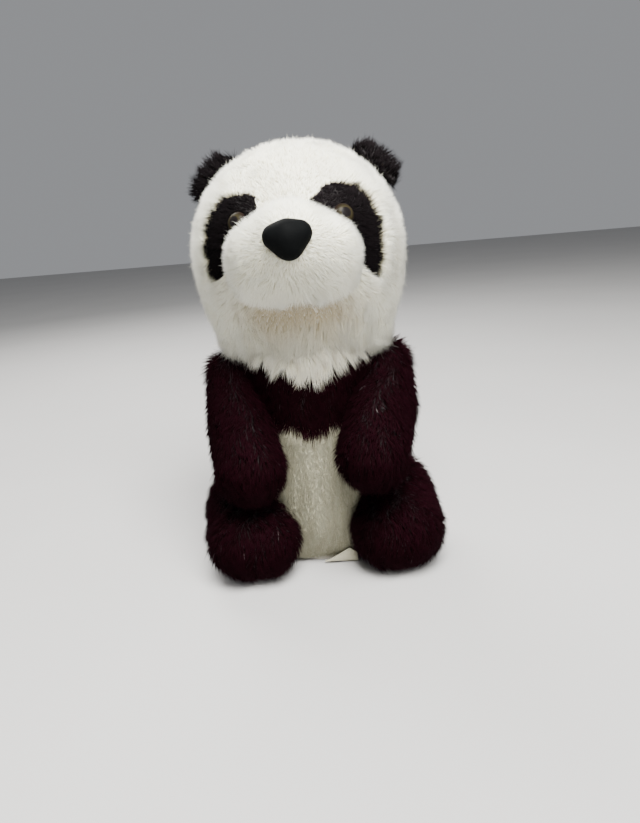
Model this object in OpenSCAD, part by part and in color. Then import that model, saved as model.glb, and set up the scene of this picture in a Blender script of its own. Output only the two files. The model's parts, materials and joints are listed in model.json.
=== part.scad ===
// Sitting plush panda: fur skins over fibre stuffing, limbs, ears and head sewn on at soft
// hinges, a weighted seat, and plastic eyes and nose held by washers.
// The panda faces -Y, +Z is up, and the origin is the middle of the flat seat.
// Left and right are the panda's own: its left side is +X.

/* [Fur fabric] */
// Depth of the fur and its knitted backing on the head, torso and limbs
pile = 6; // [4:0.5:7]
// Thickness of the knitted backing alone
backing = 1; // [0.6:0.1:1.5]
// Air between a skin and the stuffing inside it
fill_gap = 0.4; // [0.3:0.1:1]
// Room round a limb or ear over its whole travel
swing_gap = 1.2; // [0.9:0.1:2]

/* [Head] */
// Width of the head over its fur
head_w = 114; // [95:1:137]
// Radius of each cheek
cheek_r = 34; // [28:0.5:41]
// Distance between the cheek centres
cheek_spread = 40; // [33:1:48]
// Cheek centres below the head's centre
cheek_drop = 17; // [14:1:20]
// How far the face is tilted up, in degrees
face_up = 12; // [0:1:20]
// How far the face is turned to the panda's right, in degrees
face_aside = 3; // [0:1:6]
// Width of the middle strip from brow to nape
gusset_w = 44; // [36:1:50]
// Width of the throat panel
throat_w = 60; // [50:1:66]
// Top edge of the throat panel below the head's centre
throat_drop = 20; // [17:1:24]

/* [Muzzle] */
// Width of the muzzle over its fur
muzzle_w = 67; // [56:1:76]
// Radius of each side of the muzzle
muzzle_side_r = 21.5; // [18:0.5:24]
// Radius of the muzzle's bridge
bridge_r = 19; // [16:0.5:21]
// Radius of the muzzle's tip
muzzle_tip_r = 22; // [18.5:0.5:24]
// How far the muzzle's tip stands out in front of the head
muzzle_out = 15; // [10:1:22]
// Muzzle's middle below the head's centre
muzzle_drop = 9; // [6:1:12]

/* [Eyes and nose] */
// Diameter of the eye's dome
eye_d = 10; // [8:0.5:12]
// Height of the eye's dome
eye_dome = 4; // [3:0.5:4.5]
// Angle of each eye from the middle of the face, in degrees
eye_aside = 28; // [26:1:32]
// Angle of the eyes above the head's centre, in degrees
eye_up = 9; // [6:1:14]
// Width of the nose
nose_w = 21.5; // [18:0.5:25]
// Height of the nose
nose_h = 17.5; // [15:0.5:21]
// How far the nose stands out of its backing
nose_t = 8; // [6.5:0.5:10]
// Radius of the nose's rounded corners
nose_corner_r = 5.5; // [4:0.5:6]
// Height of the nose's side corners above its middle
nose_side_up = 2; // [0:0.5:3]
// Radius of the nose's bulging front
nose_bulge_r = 7.9; // [7:0.1:8.5]
// How far the nose is sewn askew, in degrees
nose_tilt = 5; // [0:1:8]
// Diameter of the shanks behind the eyes and nose
shank_d = 3; // [2.5:0.5:4]
// Length of the shanks
shank_l = 6; // [5:0.5:8]
// Diameter of the washers
washer_d = 11; // [9:0.5:13]
// Thickness of the washers
washer_t = 1.5; // [1:0.1:2]

/* [Ears] */
// Width of an ear across its base
ear_w = 37; // [31:1:44]
// Height of an ear from its base seam to its tip
ear_h = 12.5; // [11:0.5:16]
// Thickness of an ear, both layers
ear_t = 10; // [8:0.5:12]
// Angle of the ears from straight up, in degrees
ear_aside = 44; // [38:1:50]
// Ears behind the head's centre
ear_back = 9; // [4:1:14]
// Depth of the ear's base seam in the head's fur
ear_sink = 2.5; // [1:0.5:3.5]
// How far an ear folds forward or back, in degrees
ear_fold = 20; // [10:1:25]

/* [Torso] */
// Height of the neck's centre above the seat
neck_z = 110; // [100:1:125]
// Radius of the neck
neck_r = 33; // [30:0.5:35]
// Neck's centre behind the seat's middle
neck_back = 4; // [0:1:8]
// Height of the chest's centre
chest_z = 86; // [78:1:94]
// Radius of the chest
chest_r = 34; // [30:0.5:37]
// Height of the belly's centre
belly_z = 52; // [46:1:58]
// Radius of the belly
belly_r = 39; // [34:0.5:43]
// Radius of the bottom
seat_r = 40; // [36:0.5:44]
// Height of the bottom's centre
seat_z = 34; // [31:0.5:38]
// Bottom's centre behind the seat's middle
seat_back = 10; // [6:1:14]
// Radius of the lap, the low front of the belly
lap_r = 16; // [13:0.5:20]
// Lap's centre in front of the seat's middle
lap_front = 20; // [16:1:24]
// Tip of the white bib above the seat
bib_tip_z = 102; // [96:1:106]
// Rise of the bib's edge for each millimetre to the side
bib_slope = 0.45; // [0.3:0.05:0.6]
// Tip of the dark yoke above the seat
yoke_tip_z = 75; // [68:1:82]
// Rise of the yoke's edge for each millimetre to the side
yoke_slope = 0.3; // [0.2:0.05:0.4]
// Width of the cream belly panel
belly_panel_w = 50; // [40:1:60]
// How far the head turns each way, in degrees
head_turn = 20; // [10:1:25]
// How far the head nods each way, in degrees
head_nod = 8; // [4:1:10]

/* [Seat and bean bag] */
// Thickness of the stiffened seat panel
seat_t = 3; // [2:0.5:4]
// Width of the seat panel
seat_w = 46; // [40:1:54]
// Length of the seat panel, front to back
seat_l = 56; // [48:1:62]
// Radius of the bean bag
bag_r = 21; // [18:0.5:22]
// Height of the bean bag
bag_h = 17; // [14:0.5:20]
// Thickness of the bag's cloth
bag_cloth = 0.8; // [0.5:0.1:1.2]
// Diameter of a pellet
pellet_d = 4; // [3.5:0.1:4.4]
// Width of the folded blank tab at the belly's hem
tab_w = 14; // [10:1:18]
// Length of the tab in front of the seat panel
tab_l = 6; // [4:0.5:8]
// Thickness of the folded tab
tab_t = 0.9; // [0.6:0.1:1.2]
// Tab's near edge from the middle of the body
tab_x = 2; // [0:1:6]

/* [Arms] */
// Half of the distance between the shoulder centres
shoulder_x = 42; // [39:0.5:46]
// Height of the shoulder centres
shoulder_z = 101; // [95:1:104]
// Shoulder centres in front of the seat's middle
shoulder_front = 4; // [0:1:8]
// Radius of a shoulder
shoulder_r = 13.5; // [11.5:0.5:16]
// Half of the distance between the elbow centres
elbow_x = 40; // [38:0.5:43]
// Elbow centres in front of the seat's middle
elbow_front = 20; // [16:1:24]
// Radius of an arm at the elbow
elbow_r = 16.5; // [14:0.5:18]
// Radius of a paw
paw_r = 18.5; // [15.5:0.5:20]
// Right paw's centre from the middle of the body
right_paw_x = 33; // [30:1:38]
// Left paw's centre from the middle of the body
left_paw_x = 28; // [26:1:38]
// Right paw's centre in front of the seat's middle
right_paw_front = 42; // [40:1:48]
// Left paw's centre in front of the seat's middle
left_paw_front = 49; // [42:1:52]
// How much higher the left paw is held than the right one
left_paw_rise = 5; // [0:1:10]
// Room between the right paw and the leg under it
paw_gap = 2; // [1.5:0.5:6]
// How far an arm lifts forward and up, in degrees
arm_lift = 32; // [20:1:34]

/* [Legs] */
// Radius of a haunch
haunch_r = 25; // [21:0.5:27]
// Half of the distance between the haunch centres
haunch_x = 40; // [38:0.5:46]
// Haunch centres in front of the seat's middle
haunch_front = 6; // [2:1:10]
// Height of the haunch centres
haunch_z = 26; // [23:0.5:30]
// Radius of a foot
foot_r = 21; // [18:0.5:24]
// Width of a foot
foot_w = 51; // [46:1:56]
// Half of the distance between the foot centres
foot_x = 36; // [35:0.5:43]
// Foot centres in front of the seat's middle
foot_front = 38; // [34:1:46]
// How much further out the left leg rests, in degrees
left_leg_out = 7; // [0:1:10]
// How far a leg swings outward, in degrees
leg_splay = 25; // [10:1:30]

/* [Hidden] */

dark = "#2a1a20";
white = "#efebe0";
cream = "#cfc8b0";
fibre = "#f5f5f0";
black = "#101012";
amber = "#6b5a3c";
cloth = "#d8d2c4";
bead = "#b8c4cc";

far = 200;              // reach of a cutting block
facet_sag = 0.5;        // deepest that a faceted skin lies inside its true curve
fit = 0.05;             // running clearance of a shank in its washer
seat_lift = 0.3;        // air between the seat panel and what lies on it
neck_slip = 0.3;        // air between the neck plug and the cut top of the torso
socket_gap = 1.2;       // air between the neck plug and the head
head_play = 3.2;        // least room between the head and a shoulder at rest
parting = 0.5;          // room in the fur round an eye or the nose
shank_room = 0.3;       // room round a shank in the skins
cheek_front = 2;        // cheek centres in front of the head's centre
muzzle_side_back = 7;   // sides of the muzzle behind its tip
bridge_back = 8;        // bridge of the muzzle behind its tip
ear_round = 2;          // fall of an ear's edge halfway to its side
throat_back = 10;       // back edge of the throat panel behind the head's centre
patch_front = 15;       // an eye patch's outline cuts the fur in front of this depth
belly_front = 5;        // the belly, yoke and bib lie in front of this depth
foot_sink = 0.5;        // flat of a foot's sole above its round bottom

head_r = head_w / 2;
cheek_x = cheek_spread / 2;
cheek_low = cheek_drop * cos(face_up);
neck_c = [0, neck_back, neck_z];
neck_cut = neck_z + 6;
over_crown = sqrt(pow(head_r + shoulder_r + head_play, 2) - pow(shoulder_x, 2));
over_cheek = cheek_low + sqrt(pow(cheek_r + shoulder_r + head_play, 2)
                              - pow(shoulder_x - cheek_x, 2));
head_c = [0, 0, shoulder_z + max(over_crown, over_cheek)];
head_pose = [-face_up, 0, -face_aside];
skin_r = head_r - pile + backing;       // knitted backing under the head's fur

head_balls = [
    [0, 0, 0, head_r],
    [cheek_x, -cheek_front, -cheek_drop, cheek_r],
    [-cheek_x, -cheek_front, -cheek_drop, cheek_r],
];
muzzle_reach = head_r + muzzle_out;
muzzle_x = muzzle_w / 2 - muzzle_side_r;
nose_z = -5;             // nose below the head's centre
muzzle_balls = [
    [muzzle_x, muzzle_side_r + muzzle_side_back - muzzle_reach, -muzzle_drop, muzzle_side_r],
    [-muzzle_x, muzzle_side_r + muzzle_side_back - muzzle_reach, -muzzle_drop, muzzle_side_r],
    [0, bridge_r + bridge_back - muzzle_reach, 0, bridge_r],
    [0, muzzle_tip_r - muzzle_reach, nose_z, muzzle_tip_r],
];

nose_balls = [
    [nose_w / 2 - nose_corner_r, nose_side_up, 0, nose_corner_r],
    [nose_corner_r - nose_w / 2, nose_side_up, 0, nose_corner_r],
    [0, nose_corner_r - nose_h / 2, 0, nose_corner_r],
    [0, nose_h / 2 - nose_bulge_r, nose_t - nose_bulge_r, nose_bulge_r],
];

ear_root_r = ear_t / 2;
ear_axis_r = head_r + ear_root_r - ear_sink;
ear_balls = [
    [ear_w / 2 - ear_root_r, 0, 0, ear_root_r],
    [ear_root_r - ear_w / 2, 0, 0, ear_root_r],
    [ear_w / 4, 0, ear_h - ear_root_r - ear_round, ear_root_r],
    [-ear_w / 4, 0, ear_h - ear_root_r - ear_round, ear_root_r],
    [0, 0, ear_h - ear_root_r, ear_root_r],
];

torso_balls = [
    [0, neck_back, neck_z, neck_r],
    [0, 0, chest_z, chest_r],
    [0, 0, belly_z, belly_r],
    [0, seat_back, seat_z, seat_r],
    [0, -lap_front, lap_r, lap_r],
];

leg_top = foot_r * 2 - foot_sink;
paw_z = leg_top + paw_gap + paw_r;
function paw(side) = side > 0
    ? [left_paw_x, -left_paw_front, paw_z + left_paw_rise]
    : [-right_paw_x, -right_paw_front, paw_z];
function shoulder(side) = [side * shoulder_x, -shoulder_front, shoulder_z];
function arm_balls(side) = [
    [side * shoulder_x, -shoulder_front, shoulder_z, shoulder_r],
    [side * elbow_x, -elbow_front, (shoulder_z + paw(side)[2]) / 2, elbow_r],
    [paw(side)[0], paw(side)[1], paw(side)[2], paw_r],
];
arm_seam_x = elbow_x - 4;

foot_spread = foot_w / 2 - foot_r;
function haunch(side) = [side * haunch_x, -haunch_front, haunch_z];
function leg_balls(side) = [
    [side * haunch_x, -haunch_front, haunch_z, haunch_r],
    [side * (foot_x - foot_spread), -foot_front, foot_r - foot_sink, foot_r],
    [side * (foot_x + foot_spread), -foot_front, foot_r - foot_sink, foot_r],
];
function leg_rest(side) = side > 0 ? left_leg_out : 0;
sole_t = 4;             // thickness of fur and backing under a foot

bag_mid = seat_t + seat_lift + bag_h / 2;
bag_cap = bag_h / 2;
bag_ball_r = (bag_r * bag_r + bag_cap * bag_cap) / (2 * bag_cap);
pellet_pitch = pellet_d + 0.3;

eye_cap_r = (pow(eye_d / 2, 2) + pow(eye_dome, 2)) / (2 * eye_dome);

// A smooth lump round several balls, shrunk all over by inset.
module pod(balls, inset) {
    hull() for (b = balls) translate([b[0], b[1], b[2]]) sphere(r = b[3] - inset);
}

// Turns the children about a point.
module about(point, angles) {
    translate(point) rotate(angles) translate(-point) children();
}

module in_head() {
    translate(head_c) rotate(head_pose) children();
}

module above(z) {
    translate([-far, -far, z]) cube([2 * far, 2 * far, 2 * far]);
}

module below(z) {
    translate([-far, -far, z - 2 * far]) cube([2 * far, 2 * far, 2 * far]);
}

// The half of space on one side of the plane x = place.
module beside(side, place) {
    translate([side > 0 ? place : place - 2 * far, -far, -far]) cube(2 * far);
}

// A front-view outline, x across and z up, carried from the face back to y = depth.
module front_prism(outline, depth) {
    translate([0, depth, 0]) rotate([90, 0, 0])
        linear_extrude(height = far) polygon(outline);
}

// ---- Head ----

module socket() {
    translate(neck_c) sphere(r = neck_r + socket_gap, $fn = 48);
}

// Space that the head sweeps as it turns and nods, outside the neck.
module head_room() {
    difference() {
        hull() for (n = [-1, 0, 1], t = [-1, 1])
            about(neck_c, [0, 0, t * head_turn]) about(neck_c, [n * head_nod, 0, 0])
                in_head() pod(head_balls, -swing_gap, $fn = 20);
        socket();
    }
}

module ear_frame(side) {
    in_head() rotate([0, side * ear_aside, 0]) translate([0, ear_back, ear_axis_r]) children();
}

module ear_room(side) {
    ear_frame(side) hull() for (f = [-1, 0, 1])
        rotate([f * ear_fold, 0, 0]) pod(ear_balls, -swing_gap, $fn = 16);
}

// Frame with its +Z out of the face through one eye, and its origin on the knitted backing.
module eye_frame(side) {
    in_head() rotate([0, 0, side * eye_aside]) rotate([90 - eye_up, 0, 0])
        translate([0, 0, skin_r]) children();
}

// Hole for a shank, from the fur through to the stuffing.
module shank_hole() {
    translate([0, 0, -2 * shank_l]) cylinder(d = shank_d + 2 * shank_room, h = 4 * shank_l, $fn = 24);
}

// Parting in the fur for the eye, and the hole for its shank.
module eye_room(side) {
    eye_frame(side) {
        cylinder(d = eye_d + 2 * parting, h = far, $fn = 32);
        shank_hole();
    }
}

// Frame with its +Z out of the muzzle, and its origin on the muzzle's knitted backing.
module nose_frame() {
    in_head() translate([0, -muzzle_reach + pile - backing, nose_z])
        rotate([90, 0, 0]) rotate([0, 0, nose_tilt]) children();
}

module nose_room() {
    nose_frame() {
        pod(nose_balls, -parting, $fn = 24);
        cylinder(r = nose_bulge_r, h = far, $fn = 32);
        shank_hole();
    }
}

module head_shell() {
    difference() {
        in_head() pod(head_balls, 0, $fn = 30);
        in_head() pod(head_balls, pile, $fn = 30);
        in_head() pod(muzzle_balls, 0, $fn = 24);
        socket();
        for (side = [-1, 1]) ear_room(side);
    }
}

module throat_block() {
    in_head() translate([-throat_w / 2, -far, -far - throat_drop])
        cube([throat_w, far + throat_back, far]);
}

module gusset_block() {
    in_head() translate([-gusset_w / 2, -far, -far]) cube([gusset_w, 2 * far, 2 * far]);
}

// Comma-shaped eye patch: broad above the eye, tapering down along the muzzle.
patch_outline = [
    [15, 17], [19, 21], [25, 23.5], [31.5, 23], [37, 17], [40.5, 8], [41.5, -2], [40.5, -12],
    [38, -20], [34.5, -19], [26, -10], [15, 5],
];

module patch_block(side) {
    in_head() mirror([side > 0 ? 0 : 1, 0, 0]) front_prism(patch_outline, -patch_front);
}

module head_gusset() color(white) difference() {
    intersection() {
        head_shell();
        gusset_block();
    }
    throat_block();
    for (side = [-1, 1]) patch_block(side);
}

module head_side(side) color(white) difference() {
    intersection() {
        head_shell();
        in_head() beside(side, side * gusset_w / 2);
    }
    throat_block();
    patch_block(side);
    eye_room(side);
}

module throat_panel() color(white) intersection() {
    head_shell();
    throat_block();
}

module eye_patch(side) color(dark) difference() {
    intersection() {
        head_shell();
        patch_block(side);
    }
    eye_room(side);
}

module muzzle_skin() color(white) difference() {
    in_head() pod(muzzle_balls, 0, $fn = 24);
    in_head() pod(muzzle_balls, pile, $fn = 24);
    in_head() pod(head_balls, pile, $fn = 30);
    for (side = [-1, 1]) eye_room(side);
    nose_room();
    for (side = [-1, 1]) ear_room(side);
}

module eye(side) color(amber) eye_frame(side) {
    intersection() {
        translate([0, 0, eye_dome - eye_cap_r]) sphere(r = eye_cap_r);
        cylinder(d = eye_d, h = eye_dome + 1);
    }
    translate([0, 0, -shank_l]) cylinder(d = shank_d, h = shank_l + 1);
}

module washer_at(depth) {
    translate([0, 0, -backing - facet_sag - depth - washer_t]) difference() {
        cylinder(d = washer_d, h = washer_t);
        translate([0, 0, -1]) cylinder(d = shank_d + 2 * fit, h = washer_t + 2);
    }
}

module eye_washer(side) color(cloth) eye_frame(side) washer_at(0.3);

module washer_room(depth) {
    translate([0, 0, -shank_l - 1]) cylinder(d = washer_d + 1, h = shank_l + 1 + depth, $fn = 24);
}

module nose() color(black) nose_frame() {
    intersection() {
        pod(nose_balls, 0, $fn = 24);
        cylinder(d = 2 * nose_w, h = 2 * nose_t);
    }
    translate([0, 0, -shank_l]) cylinder(d = shank_d, h = shank_l + 1);
}

module nose_washer() color(cloth) nose_frame() washer_at(0.6);

module head_stuffing() color(fibre) difference() {
    in_head() pod(head_balls, pile + fill_gap, $fn = 24);
    socket();
    for (side = [-1, 1]) {
        eye_frame(side) washer_room(2);
        ear_room(side);
    }
}

module muzzle_stuffing() color(fibre) difference() {
    in_head() pod(muzzle_balls, pile + fill_gap, $fn = 20);
    in_head() pod(head_balls, pile, $fn = 24);
    nose_frame() washer_room(2);
    for (side = [-1, 1]) eye_frame(side) washer_room(4);
}

module neck_stuffing() color(fibre) intersection() {
    translate(neck_c) sphere(r = neck_r);
    above(neck_cut + neck_slip);
}

// ---- Ears ----

module ear_layer(side, face) color(dark) ear_frame(side) intersection() {
    pod(ear_balls, 0, $fn = 16);
    rotate([face > 0 ? 0 : 180, 0, 0]) translate([-far, -2 * far, -far]) cube(2 * far);
}

// ---- Torso ----

module arm_room(side) {
    hull() for (a = [0, 0.5, 1])
        about(shoulder(side), [-a * arm_lift, 0, 0]) pod(arm_balls(side), -swing_gap, $fn = 20);
}

module leg_room(side) {
    hull() for (a = [0, 0.5, 1])
        about(haunch(side), [0, 0, side * (leg_rest(side) + a * leg_splay)])
            pod(leg_balls(side), -swing_gap, $fn = 20);
}

module limb_rooms() {
    for (side = [-1, 1]) {
        arm_room(side);
        leg_room(side);
    }
    head_room();
}

module torso_shell() {
    difference() {
        intersection() {
            pod(torso_balls, 0, $fn = 26);
            above(seat_t + seat_lift);
            below(neck_cut);
        }
        pod(torso_balls, pile, $fn = 26);
        limb_rooms();
    }
}

module bib_block() {
    front_prism([[0, bib_tip_z], [far, bib_tip_z + far * bib_slope],
                 [-far, bib_tip_z + far * bib_slope]], 0);
}

module yoke_block() {
    front_prism([[0, yoke_tip_z], [far, yoke_tip_z + far * yoke_slope], [far, 2 * far],
                 [-far, 2 * far], [-far, yoke_tip_z + far * yoke_slope]], 0);
}

module belly_block() {
    front_prism([[-belly_panel_w / 2, 0], [belly_panel_w / 2, 0],
                 [belly_panel_w / 2, far], [-belly_panel_w / 2, far]], -belly_front);
}

module chest_yoke() color(dark) difference() {
    intersection() {
        torso_shell();
        yoke_block();
        belly_block();
    }
    bib_block();
}

module bib() color(white) intersection() {
    torso_shell();
    bib_block();
    belly_block();
}

module belly_panel() color(cream) difference() {
    intersection() {
        torso_shell();
        belly_block();
    }
    yoke_block();
}

module torso_half(side) color(dark) difference() {
    intersection() {
        torso_shell();
        beside(side, 0);
    }
    belly_block();
}

module bean_bag_room() {
    translate([0, seat_back, 0]) cylinder(r = bag_r + 1, h = bag_mid + bag_cap + 1, $fn = 32);
}

module torso_stuffing() color(fibre) difference() {
    intersection() {
        pod(torso_balls, pile + fill_gap, $fn = 24);
        above(seat_t + seat_lift);
        below(neck_cut);
    }
    limb_rooms();
    bean_bag_room();
}

module seat_outline() {
    polygon([for (a = [0:7.5:359]) [seat_w / 2 * cos(a), seat_l / 2 * sin(a)]]);
}

module seat_panel() color(cloth) linear_extrude(height = seat_t) seat_outline();

// One dish of the bean bag: up is 1 for the upper dish and -1 for the lower one.
module bag_dish(up) {
    color(cloth) translate([0, seat_back, bag_mid]) mirror([0, 0, up > 0 ? 0 : 1])
        intersection() {
            translate([0, 0, bag_cap - bag_ball_r]) difference() {
                sphere(r = bag_ball_r);
                sphere(r = bag_ball_r - bag_cloth);
            }
            cylinder(r = bag_r, h = bag_h);
        }
}

// Plastic pellets in close rows, as many as the bag's inside takes at each height.
module pellets() color(bead) translate([0, seat_back, bag_mid])
    for (level = [-1, 0, 1], row = [-6:6], col = [-6:6]) {
        x = pellet_pitch * (col + row / 2);
        y = pellet_pitch * row * sqrt(3) / 2;
        z = level * pellet_pitch;
        room = bag_ball_r - bag_cloth - pellet_d / 2 - 0.3;
        if (norm([x, y, abs(z) + bag_ball_r - bag_cap]) < room)
            translate([x, y, z]) sphere(d = pellet_d);
    }

// Blank tab, sewn along the front edge of the seat panel.
module hem_tab() color(cloth) translate([0, 0, seat_lift]) linear_extrude(height = tab_t)
    difference() {
        polygon([[tab_x, -seat_back], [tab_x + tab_w, -seat_back],
                 [tab_x + tab_w - tab_t, -seat_l / 2 - tab_l], [tab_x, -seat_l / 2 + tab_t]]);
        seat_outline();
    }

// ---- Arms ----

module arm_skin(side, outer) color(dark) difference() {
    intersection() {
        pod(arm_balls(side), 0, $fn = 20);
        beside(side * outer, side * arm_seam_x);
    }
    pod(arm_balls(side), pile, $fn = 20);
}

module arm_stuffing(side) color(fibre) pod(arm_balls(side), pile + fill_gap, $fn = 16);

// ---- Legs ----

module leg_place(side) {
    about(haunch(side), [0, 0, side * leg_rest(side)]) children();
}

module leg_skin(side, outer) color(dark) leg_place(side) difference() {
    intersection() {
        pod(leg_balls(side), 0, $fn = 20);
        beside(side * outer, side * foot_x);
        above(0);
    }
    intersection() {
        pod(leg_balls(side), pile, $fn = 20);
        above(sole_t);
    }
}

module leg_stuffing(side) color(fibre) leg_place(side) intersection() {
    pod(leg_balls(side), pile + fill_gap, $fn = 16);
    above(sole_t + fill_gap);
}

head_gusset();
head_side(1);  // head_side_left
head_side(-1);  // head_side_right
throat_panel();
muzzle_skin();
eye_patch(1);  // eye_patch_left
eye_patch(-1);  // eye_patch_right
eye(1);  // eye_left
eye(-1);  // eye_right
eye_washer(1);  // eye_washer_left
eye_washer(-1);  // eye_washer_right
nose();
nose_washer();
head_stuffing();
muzzle_stuffing();
neck_stuffing();
ear_layer(1, 1);  // ear_left_front
ear_layer(1, -1);  // ear_left_back
ear_layer(-1, 1);  // ear_right_front
ear_layer(-1, -1);  // ear_right_back
torso_half(1);  // torso_left
torso_half(-1);  // torso_right
chest_yoke();
bib();
belly_panel();
torso_stuffing();
seat_panel();
bag_dish(1);  // bean_bag_upper
bag_dish(-1);  // bean_bag_lower
pellets();
hem_tab();
arm_skin(1, 1);  // arm_left_outer
arm_skin(1, -1);  // arm_left_inner
arm_stuffing(1);  // arm_left_stuffing
arm_skin(-1, 1);  // arm_right_outer
arm_skin(-1, -1);  // arm_right_inner
arm_stuffing(-1);  // arm_right_stuffing
leg_skin(1, 1);  // leg_left_outer
leg_skin(1, -1);  // leg_left_inner
leg_stuffing(1);  // leg_left_stuffing
leg_skin(-1, 1);  // leg_right_outer
leg_skin(-1, -1);  // leg_right_inner
leg_stuffing(-1);  // leg_right_stuffing
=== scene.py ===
"""Looks of a sitting plush panda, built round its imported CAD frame.

Every soft part is a stuffed skin, shaped from balls, puffed by cloth pressure and planted with
strands of fur. The eyes, nose and hem tab are modelled pieces. Lengths are in metres.
"""

import json
import logging
import math
from collections.abc import Callable, Mapping, Sequence
from dataclasses import dataclass, field
from enum import Enum
from typing import Any

import bpy
import numpy as np
from mathutils import Euler, Matrix, Vector
from mathutils.kdtree import KDTree


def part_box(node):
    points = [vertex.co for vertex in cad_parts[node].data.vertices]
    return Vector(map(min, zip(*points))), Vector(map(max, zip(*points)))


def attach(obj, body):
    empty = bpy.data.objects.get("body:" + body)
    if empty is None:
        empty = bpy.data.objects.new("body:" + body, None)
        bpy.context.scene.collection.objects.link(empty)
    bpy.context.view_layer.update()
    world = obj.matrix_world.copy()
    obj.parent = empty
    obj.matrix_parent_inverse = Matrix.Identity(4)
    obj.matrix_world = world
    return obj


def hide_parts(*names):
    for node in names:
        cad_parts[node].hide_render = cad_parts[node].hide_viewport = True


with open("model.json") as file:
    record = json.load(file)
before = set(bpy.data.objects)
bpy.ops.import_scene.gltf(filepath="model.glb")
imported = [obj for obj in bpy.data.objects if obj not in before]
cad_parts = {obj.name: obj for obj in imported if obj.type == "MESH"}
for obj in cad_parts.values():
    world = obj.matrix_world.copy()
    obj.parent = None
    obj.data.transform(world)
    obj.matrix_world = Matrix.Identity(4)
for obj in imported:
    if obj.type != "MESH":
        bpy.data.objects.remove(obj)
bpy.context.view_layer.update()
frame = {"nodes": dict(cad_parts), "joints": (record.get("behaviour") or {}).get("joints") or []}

LOG = logging.getLogger("panda")
MM = 0.001
PRESSURE = 4.0
CLOTH_FRAMES = 15
STRAND_FLOOR = 0.4 * MM
LINT_FROM = 0.975
LINT_TINT = 0.985
DARKEST_TINT = 0.93
GUARD_SHARE = 0.015
GUARD_LENGTH = 1.35
Colour = tuple[float, float, float]
Field = Callable[[np.ndarray, np.ndarray], np.ndarray]


# ---------------------------------------------------------------- shader arithmetic


class Value:
    """A shader value that takes part in Python arithmetic by adding Math nodes."""

    def __init__(self, tree: "Finish", socket: bpy.types.NodeSocket) -> None:
        """Wraps an output socket.

        Args:
            tree: the material being written.
            socket: the output that carries the value.
        """
        self.tree = tree
        self.socket = socket

    def _math(self, operation: str, first: Any, second: Any) -> "Value":
        """Adds one Math node and returns its result."""
        return self.tree.add("ShaderNodeMath", {"operation": operation}, {0: first, 1: second})[0]

    def __add__(self, other: Any) -> "Value":
        """self + other."""
        return self._math("ADD", self, other)

    def __radd__(self, other: Any) -> "Value":
        """other + self."""
        return self._math("ADD", other, self)

    def __sub__(self, other: Any) -> "Value":
        """self - other."""
        return self._math("SUBTRACT", self, other)

    def __rsub__(self, other: Any) -> "Value":
        """other - self."""
        return self._math("SUBTRACT", other, self)

    def __mul__(self, other: Any) -> "Value":
        """self * other."""
        return self._math("MULTIPLY", self, other)

    def __rmul__(self, other: Any) -> "Value":
        """other * self."""
        return self._math("MULTIPLY", other, self)


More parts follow.
